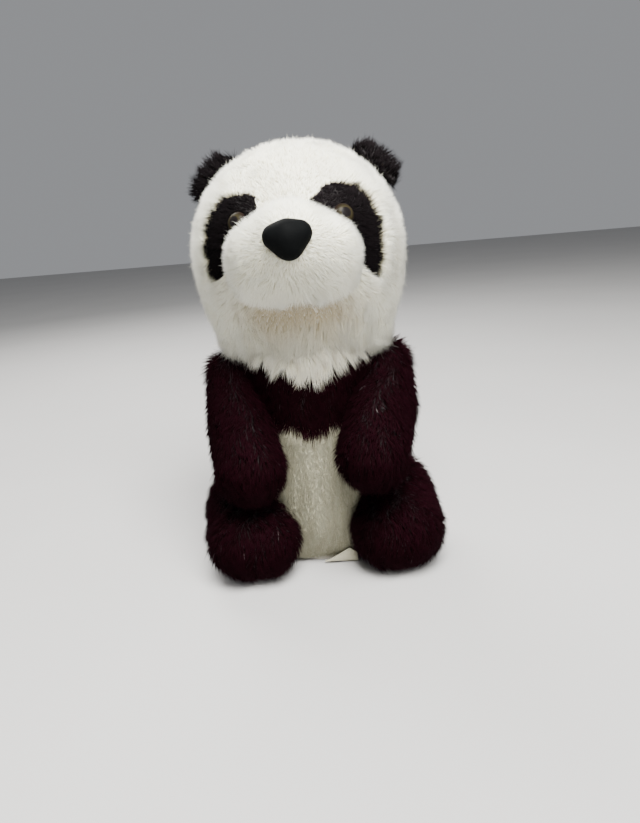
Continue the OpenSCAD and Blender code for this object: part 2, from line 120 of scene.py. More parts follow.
class Finish:
    """A material under construction, and the one way that nodes are added to it."""

    def __init__(self, name: str) -> None:
        """Starts a material that holds only a Principled shader.

        Args:
            name: the material's name.
        """
        self.material = bpy.data.materials.new(name)
        self.material.use_nodes = True
        self.nodes = self.material.node_tree.nodes
        self.links = self.material.node_tree.links
        self.nodes.clear()
        self.shader = self.nodes.new("ShaderNodeBsdfPrincipled")
        output = self.nodes.new("ShaderNodeOutputMaterial")
        self.links.new(self.shader.outputs[0], output.inputs["Surface"])

    def add(
        self, kind: str, settings: Mapping[str, Any], inputs: Mapping[Any, Any]
    ) -> list["Value"]:
        """Adds a node.

        Args:
            kind: the node's type.
            settings: attributes set first; "stops" fills a colour ramp.
            inputs: values or links, by socket name or number.

        Returns:
            The node's outputs.
        """
        node = self.nodes.new(kind)
        for key, setting in settings.items():
            if key == "stops":
                self._fill_ramp(node.color_ramp, setting)
            else:
                setattr(node, key, setting)
        for key, given in inputs.items():
            self.put(node.inputs[key], given)
        return [Value(self, out) for out in node.outputs]

    def _fill_ramp(self, ramp: bpy.types.ColorRamp, stops: Sequence[tuple[float, Colour]]) -> None:
        """Gives a colour ramp its stops.

        Args:
            ramp: the ramp.
            stops: places from 0 to 1, each with a colour.
        """
        while len(ramp.elements) < len(stops):
            ramp.elements.new(1.0)
        for element, (place, colour) in zip(ramp.elements, stops):
            element.position = place
            element.color = (*colour, 1.0)

    def put(self, socket: bpy.types.NodeSocket, given: Any) -> None:
        """Sets a socket, or links it when given a Value.

        Args:
            socket: the socket.
            given: the value or link.
        """
        if isinstance(given, Value):
            self.links.new(given.socket, socket)
        elif isinstance(given, tuple) and len(given) == 3 and socket.type == "RGBA":
            socket.default_value = (*given, 1.0)
        else:
            socket.default_value = given

    def surface(self, **inputs: Any) -> None:
        """Sets the Principled shader's sockets, named with underscores for spaces."""
        for key, given in inputs.items():
            self.put(self.shader.inputs[key.replace("_", " ")], given)

    def noise(self, size: float, detail: float = 3.0, place: Any = None) -> "Value":
        """Noise over the object's own coordinates.

        Args:
            size: the width of a lump, in metres.
            detail: octaves of finer lumps.
            place: coordinates, when not the object's own.

        Returns:
            The noise's factor.
        """
        where = self.object_place() if place is None else place
        return self.add(
            "ShaderNodeTexNoise", {}, {"Vector": where, "Scale": 1 / size, "Detail": detail}
        )[0]

    def object_place(self) -> "Value":
        """Object coordinates."""
        return self.add("ShaderNodeTexCoord", {}, {})[3]

    def mix(self, factor: Any, first: Any, second: Any) -> "Value":
        """A mix of two colours.

        Args:
            factor: the second colour's share.
            first: the colour at 0.
            second: the colour at 1.

        Returns:
            The mixed colour.
        """
        out = self.add(
            "ShaderNodeMix", {"data_type": "RGBA"}, {0: factor, 6: first, 7: second}
        )
        return out[2]

    def bump(self, height: Any, depth: float, strength: float = 1.0) -> None:
        """Bumps the surface by a height of 0 to 1 that stands for depth metres.

        Args:
            height: the height, 0 to 1.
            depth: what a height of 1 stands for, in metres.
            strength: how strongly it shades.
        """
        out = self.add(
            "ShaderNodeBump", {}, {"Height": height, "Distance": depth, "Strength": strength}
        )
        self.surface(Normal=out[0])


# ---------------------------------------------------------------- finishes


@dataclass(frozen=True)
class FurFinish:
    """Colour of fur: across a strand's length, and from strand to strand."""

    name: str
    root: Colour
    middle: Colour
    tip: Colour
    dull: Colour
    roughness: float
    sheen: float
    sheen_tint: Colour
    glow: float = 0.0
    lint: Colour = (0.42, 0.38, 0.37)
    gloss: float = 0.04

    def build(self) -> bpy.types.Material:
        """Makes the material. The map's v runs along a strand and its u is the strand's tint.

        Returns:
            The finished material.
        """
        finish = Finish(self.name)
        spot = finish.add("ShaderNodeUVMap", {"uv_map": "OFBake"}, {})[0]
        tint, along, _ = finish.add("ShaderNodeSeparateXYZ", {}, {0: spot})
        # Each strand darkens towards its root: painted shade from deep in the pile. The dark coat's
        # lighter, purpler tips are partly a painted highlight.
        stops = [(0.0, self.root), (0.45, self.middle), (1.0, self.tip)]
        strand = finish.add("ShaderNodeValToRGB", {"stops": stops}, {0: along})[0]
        # The tint pulls a strand towards the dull colour: random tone, plus any painted shade that
        # the plot adds.
        colour = finish.mix(tint * 0.9, strand, self.dull)
        speck = finish.add(
            "ShaderNodeMath", {"operation": "GREATER_THAN"}, {0: tint, 1: LINT_FROM}
        )[0]
        finish.surface(
            Base_Color=finish.mix(speck, colour, self.lint),
            Roughness=self.roughness,
            Sheen_Weight=self.sheen,
            Sheen_Tint=self.sheen_tint,
            Sheen_Roughness=0.5,
            Specular_IOR_Level=self.gloss,
            Subsurface_Weight=self.glow,
            Subsurface_Radius=(1.0, 0.9, 0.75),
            Subsurface_Scale=1.5 * MM,
        )
        return finish.material


@dataclass(frozen=True)
class ClothFinish:
    """Knitted or woven cloth, with fine ribs and a little shading from place to place."""

    name: str
    light: Colour
    shade: Colour
    thread: float = 0.6 * MM
    roughness: float = 0.9

    def build(self) -> bpy.types.Material:
        """Makes the material.

        Returns:
            The finished material.
        """
        finish = Finish(self.name)
        place = finish.object_place()
        weave = [
            finish.add(
                "ShaderNodeTexWave",
                {"bands_direction": way},
                {"Vector": place, "Scale": 0.05 / self.thread, "Distortion": 0.6},
            )[1]
            for way in ("X", "Z")
        ]
        cloudy = finish.noise(9 * MM)
        threads = weave[0] * weave[1]
        finish.surface(
            Base_Color=finish.mix(cloudy * 0.6 + threads * 0.4, self.shade, self.light),
            Roughness=self.roughness,
            Sheen_Weight=0.2,
        )
        finish.bump(threads, 0.15 * MM)
        return finish.material


@dataclass(frozen=True)
class FibreFinish:
    """Loose polyester fibre."""

    name: str = "loose_fibre"
    light: Colour = (0.86, 0.86, 0.84)
    shade: Colour = (0.62, 0.62, 0.6)

    def build(self) -> bpy.types.Material:
        """Makes the material.

        Returns:
            The finished material.
        """
        finish = Finish(self.name)
        wisps = finish.noise(1.6 * MM, 6.0)
        clouds = finish.noise(11 * MM, 2.0)
        finish.surface(
            Base_Color=finish.mix(wisps * 0.5 + clouds * 0.5, self.shade, self.light),
            Roughness=0.95,
            Sheen_Weight=0.3,
        )
        finish.bump(wisps, 0.5 * MM)
        return finish.material


@dataclass(frozen=True)
class PlasticFinish:
    """Moulded plastic with a fine grain, and gloss that varies a little."""

    name: str
    colour: Colour
    worn: Colour
    roughness: float
    grain: float = 0.35 * MM
    grain_depth: float = 0.03 * MM
    shine: float = 0.5

    def build(self) -> bpy.types.Material:
        """Makes the material.

        Returns:
            The finished material.
        """
        finish = Finish(self.name)
        cells = finish.add(
            "ShaderNodeTexVoronoi",
            {"feature": "F1"},
            {"Vector": finish.object_place(), "Scale": 1 / self.grain, "Randomness": 0.8},
        )[0]
        cloudy = finish.noise(5 * MM)
        finish.surface(
            Base_Color=finish.mix(cloudy * 0.6, self.colour, self.worn),
            Roughness=self.roughness + (cloudy - 0.5) * 0.15,
            Specular_IOR_Level=self.shine,
        )
        finish.bump(cells, self.grain_depth)
        return finish.material


@dataclass(frozen=True)
class EyeFinish:
    """A glossy eye: black pupil, streaked iris and dark rim, by distance from its middle."""

    name: str = "eye_iris"
    pupil: Colour = (0.004, 0.004, 0.005)
    inner: Colour = (0.026, 0.022, 0.010)
    outer: Colour = (0.012, 0.010, 0.005)
    rim: Colour = (0.012, 0.008, 0.006)

    def build(self) -> bpy.types.Material:
        """Makes the material. The map's u is the distance from the middle, v the turn.

        Returns:
            The finished material.
        """
        finish = Finish(self.name)
        spot = finish.add("ShaderNodeUVMap", {"uv_map": "iris"}, {})[0]
        out, turn, _ = finish.add("ShaderNodeSeparateXYZ", {}, {0: spot})
        streaks = finish.add(
            "ShaderNodeTexNoise", {"noise_dimensions": "1D"}, {"W": turn * 60, "Detail": 4.0}
        )[0]
        stops = [
            (0.0, self.pupil), (0.45, self.pupil), (0.5, self.inner), (0.78, self.outer),
            (0.9, self.rim),
        ]
        iris = finish.add("ShaderNodeValToRGB", {"stops": stops}, {0: out})[0]
        finish.surface(
            Base_Color=finish.mix(streaks * 0.5, iris, self.rim),
            Roughness=0.28,
            Specular_IOR_Level=0.04,
        )
        return finish.material


class Look(Enum):
    """Every finish on the toy."""

    WHITE_FUR = FurFinish(
        "snow_pile", (0.58, 0.52, 0.33), (0.86, 0.85, 0.68), (0.96, 0.96, 0.86),
        (0.40, 0.31, 0.17), 0.8, 0.1, (1.0, 0.99, 0.95), 0.2, (0.60, 0.53, 0.38),
    )
    # The dark pile's purplish tips are partly a painted highlight.
    DARK_FUR = FurFinish(
        "wine_pile", (0.0026, 0.0001, 0.0004), (0.0060, 0.0003, 0.0012), (0.0165, 0.0015, 0.0054),
        (0.0034, 0.0001, 0.0005), 0.8, 0.0, (0.85, 0.35, 0.48), 0.0, (0.10, 0.085, 0.085),
    )
    PATCH_FUR = FurFinish(
        "patch_pile", (0.0016, 0.0011, 0.0012), (0.0036, 0.0026, 0.0030), (0.0090, 0.0066, 0.0076),
        (0.002, 0.0015, 0.0016), 0.8, 0.0, (0.8, 0.7, 0.75), 0.0, (0.006, 0.005, 0.005),
    )
    # Cream pile: its own cream colour, darkened as painted shade where the head shades the belly.
    CREAM_FUR = FurFinish(
        "cream_pile", (0.25, 0.235, 0.155), (0.34, 0.33, 0.235), (0.42, 0.41, 0.31),
        (0.17, 0.15, 0.09), 0.8, 0.05, (1.0, 0.97, 0.9), 0.1, (0.35, 0.31, 0.22),
    )
    WHITE_CLOTH = ClothFinish("white_backing", (0.80, 0.78, 0.70), (0.70, 0.67, 0.57))
    DARK_CLOTH = ClothFinish("dark_backing", (0.0045, 0.0008, 0.0013), (0.002, 0.0004, 0.0007))
    CREAM_CLOTH = ClothFinish("cream_backing", (0.50, 0.46, 0.36), (0.36, 0.32, 0.24))
    BAG_CLOTH = ClothFinish("bag_cloth", (0.66, 0.62, 0.53), (0.52, 0.48, 0.40))
    TAB_CLOTH = ClothFinish("tab_cloth", (0.40, 0.38, 0.28), (0.34, 0.32, 0.23), 0.4 * MM)
    FIBRE = FibreFinish()
    NOSE = PlasticFinish(
        "nose_black", (0.0006, 0.0008, 0.0009), (0.0016, 0.002, 0.0022), 0.75, shine=0.05
    )
    WASHER = PlasticFinish("washer_white", (0.72, 0.72, 0.70), (0.62, 0.62, 0.60), 0.4)
    PELLET = PlasticFinish("pellet_blue", (0.52, 0.60, 0.64), (0.42, 0.50, 0.55), 0.35)
    EYE = EyeFinish()

    def material(self) -> bpy.types.Material:
        """The finish's material, made once."""
        made = bpy.data.materials.get(self.value.name)
        return made or self.value.build()


# ---------------------------------------------------------------- modelling helpers


@dataclass(frozen=True)
class Ball:
    """One ball of a soft form."""

    at: Vector
    radius: float


def span(*nodes: str) -> tuple[Vector, Vector]:
    """The corners of the box round several CAD nodes.

    Args:
        nodes: the nodes' names.

    Returns:
        The lowest and the highest corner.
    """
    boxes = [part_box(node) for node in nodes]
    low = Vector([min(box[0][axis] for box in boxes) for axis in range(3)])
    high = Vector([max(box[1][axis] for box in boxes) for axis in range(3)])
    return low, high


def joint(name: str) -> dict[str, Any]:
    """A joint of the frame by its name."""
    return next(entry for entry in frame["joints"] if entry["name"] == name)


def pivot(name: str) -> Vector:
    """The point that a joint turns about."""
    return Vector(joint(name)["pos_m"])


def pick_only(*objects: bpy.types.Object) -> None:
    """Selects these objects and nothing else, and makes the first one active.

    Args:
        objects: what to select.
    """
    bpy.ops.object.select_all(action="DESELECT")
    for thing in objects:
        thing.select_set(True)
    bpy.context.view_layer.objects.active = objects[0]


def settle(piece: bpy.types.Object, name: str) -> bpy.types.Object:
    """Names a piece and puts its place into its mesh.

    Args:
        piece: the object.
        name: its name.

    Returns:
        The same object.
    """
    pick_only(piece)
    bpy.ops.object.transform_apply(location=True, rotation=True, scale=True)
    piece.name = name
    piece.data.name = name
    return piece


def apply_modifier(piece: bpy.types.Object, kind: str, **settings: Any) -> None:
    """Adds a modifier, sets it up and applies it.

    Args:
        piece: the object.
        kind: the modifier's type.
        settings: its settings, by name.
    """
    pick_only(piece)
    modifier = piece.modifiers.new(kind.lower(), kind)
    for key, setting in settings.items():
        setattr(modifier, key, setting)
    bpy.ops.object.modifier_apply(modifier=modifier.name)


def corners(piece: bpy.types.Object) -> np.ndarray:
    """The vertices of a piece as an array.

    Args:
        piece: the object.

    Returns:
        One place a row.
    """
    flat = np.empty(len(piece.data.vertices) * 3, dtype=np.float32)
    piece.data.vertices.foreach_get("co", flat)
    return flat.reshape(-1, 3).astype(np.float64)


def set_corners(piece: bpy.types.Object, places: np.ndarray) -> None:
    """Writes the vertices of a piece back."""
    piece.data.vertices.foreach_set("co", places.astype(np.float32).ravel())
    piece.data.update()


def unit(vectors: np.ndarray) -> np.ndarray:
    """Vectors scaled to a length of one."""
    return vectors / np.maximum(np.linalg.norm(vectors, axis=-1, keepdims=True), 1e-12)


def drift(places: np.ndarray, size: float, seed: int) -> np.ndarray:
    """A smooth random vector field, between about -1 and 1 on each axis.

    Args:
        places: points, one a row.
        size: the width of a swirl, in metres.
        seed: which field.

    Returns:
        One vector a point.
    """
    draw = np.random.default_rng(seed)
    waves = 6
    ways = unit(draw.normal(size=(3, waves, 3))) * (2 * math.pi / size)
    ways *= draw.uniform(0.6, 1.5, size=(3, waves, 1))
    starts = draw.uniform(0, 2 * math.pi, size=(3, waves))
    turns = np.einsum("awc,nc->naw", ways, places) + starts
    return np.sin(turns).sum(axis=2) / math.sqrt(waves)


# ---------------------------------------------------------------- soft forms


@dataclass
class SoftForm:
    """A stuffed skin: the smooth hull of a few balls, puffed by cloth pressure."""

    name: str
    balls: Sequence[Ball]
    voxel: float = 2.6 * MM
    puff: float = 1.4 * MM
    floor: float | None = None

    def build(self) -> bpy.types.Object:
        """Makes the skin's mesh.

        Returns:
            The skin as a closed, smooth-shaded object.
        """
        lumps = []
        for ball in self.balls:
            bpy.ops.mesh.primitive_uv_sphere_add(
                segments=28, ring_count=16, radius=ball.radius, location=ball.at
            )
            lumps.append(bpy.context.active_object)
        pick_only(*lumps)
        if len(lumps) > 1:
            bpy.ops.object.join()
        skin = settle(bpy.context.view_layer.objects.active, self.name)
        bpy.ops.object.mode_set(mode="EDIT")
        bpy.ops.mesh.select_all(action="SELECT")
        bpy.ops.mesh.convex_hull()
        bpy.ops.object.mode_set(mode="OBJECT")
        apply_modifier(skin, "REMESH", mode="VOXEL", voxel_size=self.voxel)
        apply_modifier(skin, "SMOOTH", factor=0.5, iterations=6)
        if self.puff > 0:
            self._inflate(skin)
        if self.floor is not None:
            places = corners(skin)
            places[:, 2] = np.maximum(places[:, 2], self.floor)
            set_corners(skin, places)
        pick_only(skin)
        bpy.ops.object.shade_smooth()
        return skin

    def _inflate(self, skin: bpy.types.Object) -> None:
        """Puffs the skin with cloth pressure and caps the travel.

        Args:
            skin: the skin to work on.
        """
        rest = corners(skin)
        modifier = skin.modifiers.new("cloth", "CLOTH")
        cloth = modifier.settings
        cloth.use_pressure = True
        cloth.uniform_pressure_force = PRESSURE
        cloth.effector_weights.gravity = 0.0
        cloth.quality = 4
        for step in range(1, CLOTH_FRAMES + 1):
            bpy.context.scene.frame_set(step)
        pick_only(skin)
        bpy.ops.object.modifier_apply(modifier=modifier.name)
        travel = corners(skin) - rest
        far = np.linalg.norm(travel, axis=1, keepdims=True)
        set_corners(skin, rest + travel * np.minimum(1.0, self.puff / np.maximum(far, 1e-9)))
        apply_modifier(skin, "SMOOTH", factor=0.5, iterations=2)
        bpy.context.scene.frame_set(1)


# ---------------------------------------------------------------- fur


@dataclass(frozen=True)
class Coat:
    """How one kind of fur grows."""

    look: Look
    per_mm2: float
    length: float
    width: float
    lean: float
    bend: float
    jitter: float
    clump: float
    pull: float
    swirl: float
    swirl_size: float = 14 * MM
    rings: int = 1
    uneven: float = 0.22
    soft: float = 0.3
    lint: float = 0.0
    mottle: float = 0.45
    ragged: float = 0.5 * MM


class Strand:
    """The pattern of one strand: a tapering three-sided blade, modelled once for each coat."""

    def __init__(self, rings: int) -> None:
        """Models the blade.

        Args:
            rings: how many lengths it has between its root and its tip.
        """
        bpy.ops.mesh.primitive_circle_add(vertices=3, radius=1.0, fill_type="NGON")
        blade = bpy.context.active_object
        bpy.ops.object.mode_set(mode="EDIT")
        bpy.ops.mesh.select_all(action="SELECT")
        for ring in range(1, rings + 1):
            bpy.ops.mesh.extrude_region_move(
                TRANSFORM_OT_translate={"value": (0, 0, 1 / rings)}
            )
            narrow = 0.0 if ring == rings else 0.8
            bpy.ops.transform.resize(value=(narrow, narrow, 1))
        bpy.ops.mesh.select_all(action="SELECT")
        bpy.ops.mesh.remove_doubles(threshold=1e-4)
        bpy.ops.mesh.quads_convert_to_tris()
        bpy.ops.mesh.normals_make_consistent(inside=False)
        bpy.ops.object.mode_set(mode="OBJECT")
        self.points = corners(blade)
        self.faces = np.array([tuple(face.vertices) for face in blade.data.polygons])
        bpy.data.objects.remove(blade)
        self.side = self._sides()

    def _sides(self) -> np.ndarray:
        """A small spread across the map for each face corner, so that no face is flat there.

        Returns:
            One number a point.
        """
        turn = np.arctan2(self.points[:, 1], self.points[:, 0])
        spread = np.cos(turn + 0.5)
        spread[np.linalg.norm(self.points[:, :2], axis=1) < 1e-6] = 0.3
        return spread


@dataclass
class Plot:
    """A stretch of skin to plant: where it is, how it is combed, and what stands for it."""

    name: str
    coat: Coat
    keep: Callable[[np.ndarray], np.ndarray]
    comb: Field
    replaces: Sequence[str] = ()
    scale: Callable[[np.ndarray], np.ndarray] | None = None
    slot: str = "white_fur"
    clear: Callable[[np.ndarray], np.ndarray] | None = None
    # Added to each strand's tint: random streaks and tone, and on some plots painted shade.
    tone_and_shade: Callable[[np.ndarray], np.ndarray] | None = None
    aim: float = 0.7


class Planter:
    """Plants fur on a skin, plot by plot."""

    strands: dict[int, Strand] = {}

    def __init__(self, skin: bpy.types.Object, body: str, seed: int) -> None:
        """Reads the skin's triangles.

        Args:
            skin: the finished skin.
            body: the CAD body that the fur rides on.
            seed: where the random draws start.
        """
        self.body = body
        self.seed = seed
        self.draw = np.random.default_rng(seed)
        mesh = skin.data
        mesh.calc_loop_triangles()
        places = corners(skin)
        ids = np.empty(len(mesh.loop_triangles) * 3, dtype=np.int32)
        mesh.loop_triangles.foreach_get("vertices", ids)
        self.triangles = ids.reshape(-1, 3)
        normals = np.empty(len(mesh.vertices) * 3, dtype=np.float32)
        mesh.vertices.foreach_get("normal", normals)
        self.normals = normals.reshape(-1, 3).astype(np.float64)
        self.places = places
        a, b, c = (places[self.triangles[:, k]] for k in range(3))
        self.areas = np.linalg.norm(np.cross(b - a, c - a), axis=1) / 2

    def sow(self, per_mm2: float) -> tuple[np.ndarray, np.ndarray]:
        """Scatters roots evenly over the whole skin.

        Args:
            per_mm2: how many on a square millimetre.

        Returns:
            The roots and the skin's normals there.
        """
        total = int(self.areas.sum() / MM**2 * per_mm2)
        steps = np.cumsum(self.areas) / self.areas.sum()
        lots = (np.arange(total) + self.draw.random(total)) / total
        chosen = self.triangles[np.minimum(np.searchsorted(steps, lots), len(steps) - 1)]
        u, v = np.sqrt(self.draw.random(total)), self.draw.random(total)
        weights = np.stack([1 - u, u * (1 - v), u * v], axis=1)[:, :, None]
        roots = (self.places[chosen] * weights).sum(axis=1)
        return roots, unit((self.normals[chosen] * weights).sum(axis=1))

    def plant(self, plot: Plot) -> bpy.types.Object:
        """Grows one plot's fur as one piece.

        Args:
            plot: what to plant.

        Returns:
            The fur, riding on its body.
        """
        coat = plot.coat
        roots, normals = self.sow(coat.per_mm2)
        if plot.clear is not None:
            free = plot.clear(roots)
            roots, normals = roots[free], normals[free]
        count = len(roots)
        comb = plot.comb(roots, normals) + coat.swirl * drift(roots, coat.swirl_size, self.seed)
        comb = unit(unit(comb) + coat.jitter * self.draw.normal(size=(count, 3)) * 0.6)
        comb = unit(comb - normals * (comb * normals).sum(axis=1, keepdims=True))
        lean = np.radians(coat.lean + self.draw.normal(0, 7, count))[:, None]
        length = coat.length * (1 + self.draw.uniform(-1, 1, count) * coat.uneven)
        length *= np.where(self.draw.random(count) < GUARD_SHARE, GUARD_LENGTH, 1.0)
        if plot.scale is not None:
            length = length * plot.scale(roots)
        rise = normals * np.cos(lean) + comb * np.sin(lean)
        droop = (comb - normals * 0.5) * coat.bend
        tips = roots + (rise + droop) * length[:, None]
        ragged = drift(roots, 2.2 * MM, self.seed + 1) * coat.ragged
        kept = plot.keep(roots + (tips - roots) * plot.aim + ragged)
        roots, normals, tips, rise = roots[kept], normals[kept], tips[kept], rise[kept]
        length = length[kept]
        tips = self._clumped(roots, tips, coat)
        middle = roots + rise * length[:, None] * 0.5 + (tips - roots) * 0.06
        tint = self.draw.beta(2.0, 3.5, len(roots)) * coat.mottle
        # Adds the plot's streaks and painted shade to each strand's tint.
        if plot.tone_and_shade is not None:
            tint = np.clip(tint + plot.tone_and_shade(roots), 0, DARKEST_TINT)
        tint = np.where(self.draw.random(len(roots)) < coat.lint, LINT_TINT, tint)
        piece = self._mesh(plot, roots, middle, tips, normals, tint)
        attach(piece, self.body)
        if plot.replaces:
            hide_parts(*plot.replaces)
        LOG.info("%s: %d strands, %d faces", plot.name, len(roots), len(piece.data.polygons))
        return piece

    def _clumped(self, roots: np.ndarray, tips: np.ndarray, coat: Coat) -> np.ndarray:
        """Draws the tips of neighbouring strands together.

        Args:
            roots: where the strands start.
            tips: where the strands end.
            coat: how the fur grows.

        Returns:
            The tips, drawn together.
        """
        if coat.pull <= 0 or len(roots) < 2:
            return tips
        heads = max(1, int(len(roots) / (coat.per_mm2 * (coat.clump / MM) ** 2)))
        chosen = self.draw.choice(len(roots), heads, replace=False)
        tree = KDTree(heads)
        for number, index in enumerate(chosen):
            tree.insert(roots[index], number)
        tree.balance()
        owner = np.array([tree.find(root)[1] for root in roots])
        goal = tips[chosen][owner]
        pull = coat.pull * self.draw.uniform(0.4, 1.0, len(roots))[:, None]
        return tips + (goal - tips) * pull

    def _mesh(
        self,
        plot: Plot,
        roots: np.ndarray,
        middle: np.ndarray,
        tips: np.ndarray,
        normals: np.ndarray,
        tint: np.ndarray,
    ) -> bpy.types.Object:
        """Copies the strand's pattern onto every root, along its curve.

        Args:
            plot: what is planted.
            roots: where the strands start.
            middle: the points that the strands bend towards.
            tips: where the strands end.
            normals: the skin's normals at the roots.
            tint: each strand's tint, 0 to 1.

        Returns:
            The fur as one object.
        """
        coat = plot.coat
        if coat.rings not in self.strands:
            self.strands[coat.rings] = Strand(coat.rings)
        strand = self.strands[coat.rings]
        count, corner_count = len(roots), len(strand.points)
        along = strand.points[:, 2][None, :, None]
        curve = (
            roots[:, None] * (1 - along) ** 2
            + middle[:, None] * 2 * along * (1 - along)
            + tips[:, None] * along**2
        )
        way = unit(tips - roots)
        across = unit(np.cross(way, normals + 1e-6))
        over = np.cross(way, across)
        breadth = coat.width * self.draw.uniform(0.75, 1.25, count)[:, None, None]
        curve += breadth * (
            across[:, None] * strand.points[:, 0][None, :, None]
            + over[:, None] * strand.points[:, 1][None, :, None]
        )
        curve[:, :, 2] = np.maximum(curve[:, :, 2], STRAND_FLOOR)
        faces = strand.faces[None] + (np.arange(count) * corner_count)[:, None, None]
        mesh = bpy.data.meshes.new(plot.name)
        points = curve.reshape(-1, 3)
        mesh.vertices.add(len(points))
        mesh.vertices.foreach_set("co", points.astype(np.float32).ravel())
        loops = faces.reshape(-1).astype(np.int32)
        mesh.loops.add(len(loops))
        mesh.loops.foreach_set("vertex_index", loops)
        mesh.polygons.add(len(loops) // 3)
        mesh.polygons.foreach_set("loop_start", np.arange(0, len(loops), 3, dtype=np.int32))
        mesh.update(calc_edges=True)
        self._map(mesh, strand, tint)
        self._soften(mesh, normals, corner_count, coat.soft)
        piece = bpy.data.objects.new(plot.name, mesh)
        bpy.context.scene.collection.objects.link(piece)
        mesh.materials.append(coat.look.material())
        pick_only(piece)
        bpy.ops.object.shade_smooth()
        return piece

    def _soften(
        self, mesh: bpy.types.Mesh, normals: np.ndarray, corner_count: int, soft: float
    ) -> None:
        """Shades strands mostly as the coat they make, by leaning normals towards the skin's.

        Args:
            mesh: the fur's mesh.
            normals: the skin's normals at the roots.
            corner_count: how many points one strand has.
            soft: the share of the skin's normal, 0 to 1.
        """
        own = np.empty(len(mesh.vertices) * 3, dtype=np.float32)
        mesh.vertices.foreach_get("normal", own)
        skin = np.repeat(normals, corner_count, axis=0)
        blend = unit(own.reshape(-1, 3) * (1 - soft) + skin * soft)
        free = mesh.attributes.new("custom_normal", "FLOAT_VECTOR", "POINT")
        free.data.foreach_set("vector", blend.astype(np.float32).ravel())

    def _map(self, mesh: bpy.types.Mesh, strand: Strand, tint: np.ndarray) -> None:
        """Lays every strand on the map by its tint, with its root low and its tip high.

        Args:
            mesh: the fur's mesh.
            strand: the pattern of one strand.
            tint: each strand's tint, 0 to 1.
        """
        u = 0.005 + 0.99 * tint[:, None] + strand.side[strand.faces.reshape(-1)][None] * 0.006
        height = strand.points[:, 2][strand.faces.reshape(-1)]
        v = np.broadcast_to(0.02 + 0.96 * height, u.shape).copy()
        base = np.repeat((strand.points[:, 2][strand.faces] < 1e-6).all(axis=1), 3)
        v[:, base] += np.tile([0.0, 0.0, 0.01], base.sum() // 3)[None]
        layer = mesh.uv_layers.new(name="OFBake")
        layer.data.foreach_set("uv", np.stack([u, v], axis=2).astype(np.float32).ravel())


WHITE = Coat(
    Look.WHITE_FUR, 4.0, 6.2 * MM, 0.178 * MM, 48, 0.15, 0.36, 2.6 * MM, 0.36, 0.5, mottle=0.35
)
MUZZLE = Coat(
    Look.WHITE_FUR, 5.6, 4.8 * MM, 0.15 * MM, 46, 0.12, 0.38, 2.0 * MM, 0.25, 0.45, mottle=0.3
)
THROAT = Coat(
    Look.WHITE_FUR, 3.9, 8.0 * MM, 0.17 * MM, 46, 0.2, 0.28, 3.2 * MM, 0.5, 0.3, uneven=0.3
)
BIB = Coat(
    Look.WHITE_FUR, 4.4, 9.0 * MM, 0.18 * MM, 52, 0.2, 0.26, 3.2 * MM, 0.55, 0.35, uneven=0.35
)
DARK = Coat(
    Look.DARK_FUR, 1.85, 8.0 * MM, 0.178 * MM, 52, 0.2, 0.26, 2.8 * MM, 0.36, 0.45,
    rings=2, lint=0.0005, mottle=0.9,
)
PATCH = Coat(
    Look.PATCH_FUR, 4.5, 5.4 * MM, 0.15 * MM, 50, 0.12, 0.32, 2.4 * MM, 0.45, 0.4,
    uneven=0.3, mottle=0.9, ragged=0.9 * MM,
)
EAR = Coat(
    Look.PATCH_FUR, 3.4, 5.2 * MM, 0.17 * MM, 46, 0.12, 0.34, 2.8 * MM, 0.55, 0.5,
    uneven=0.4, mottle=0.9,
)
CREAM = Coat(Look.CREAM_FUR, 4.5, 3.2 * MM, 0.15 * MM, 66, 0.05, 0.14, 1.6 * MM, 0.25, 0.12)


def streaks(places: np.ndarray, size: float, seed: int) -> np.ndarray:
    """Upright streaks in a coat's colour, between about -1 and 1."""
    return drift(places * np.array([1.0, 1.0, 0.16]), size, seed)[:, 0]


# ---------------------------------------------------------------- sub-assemblies


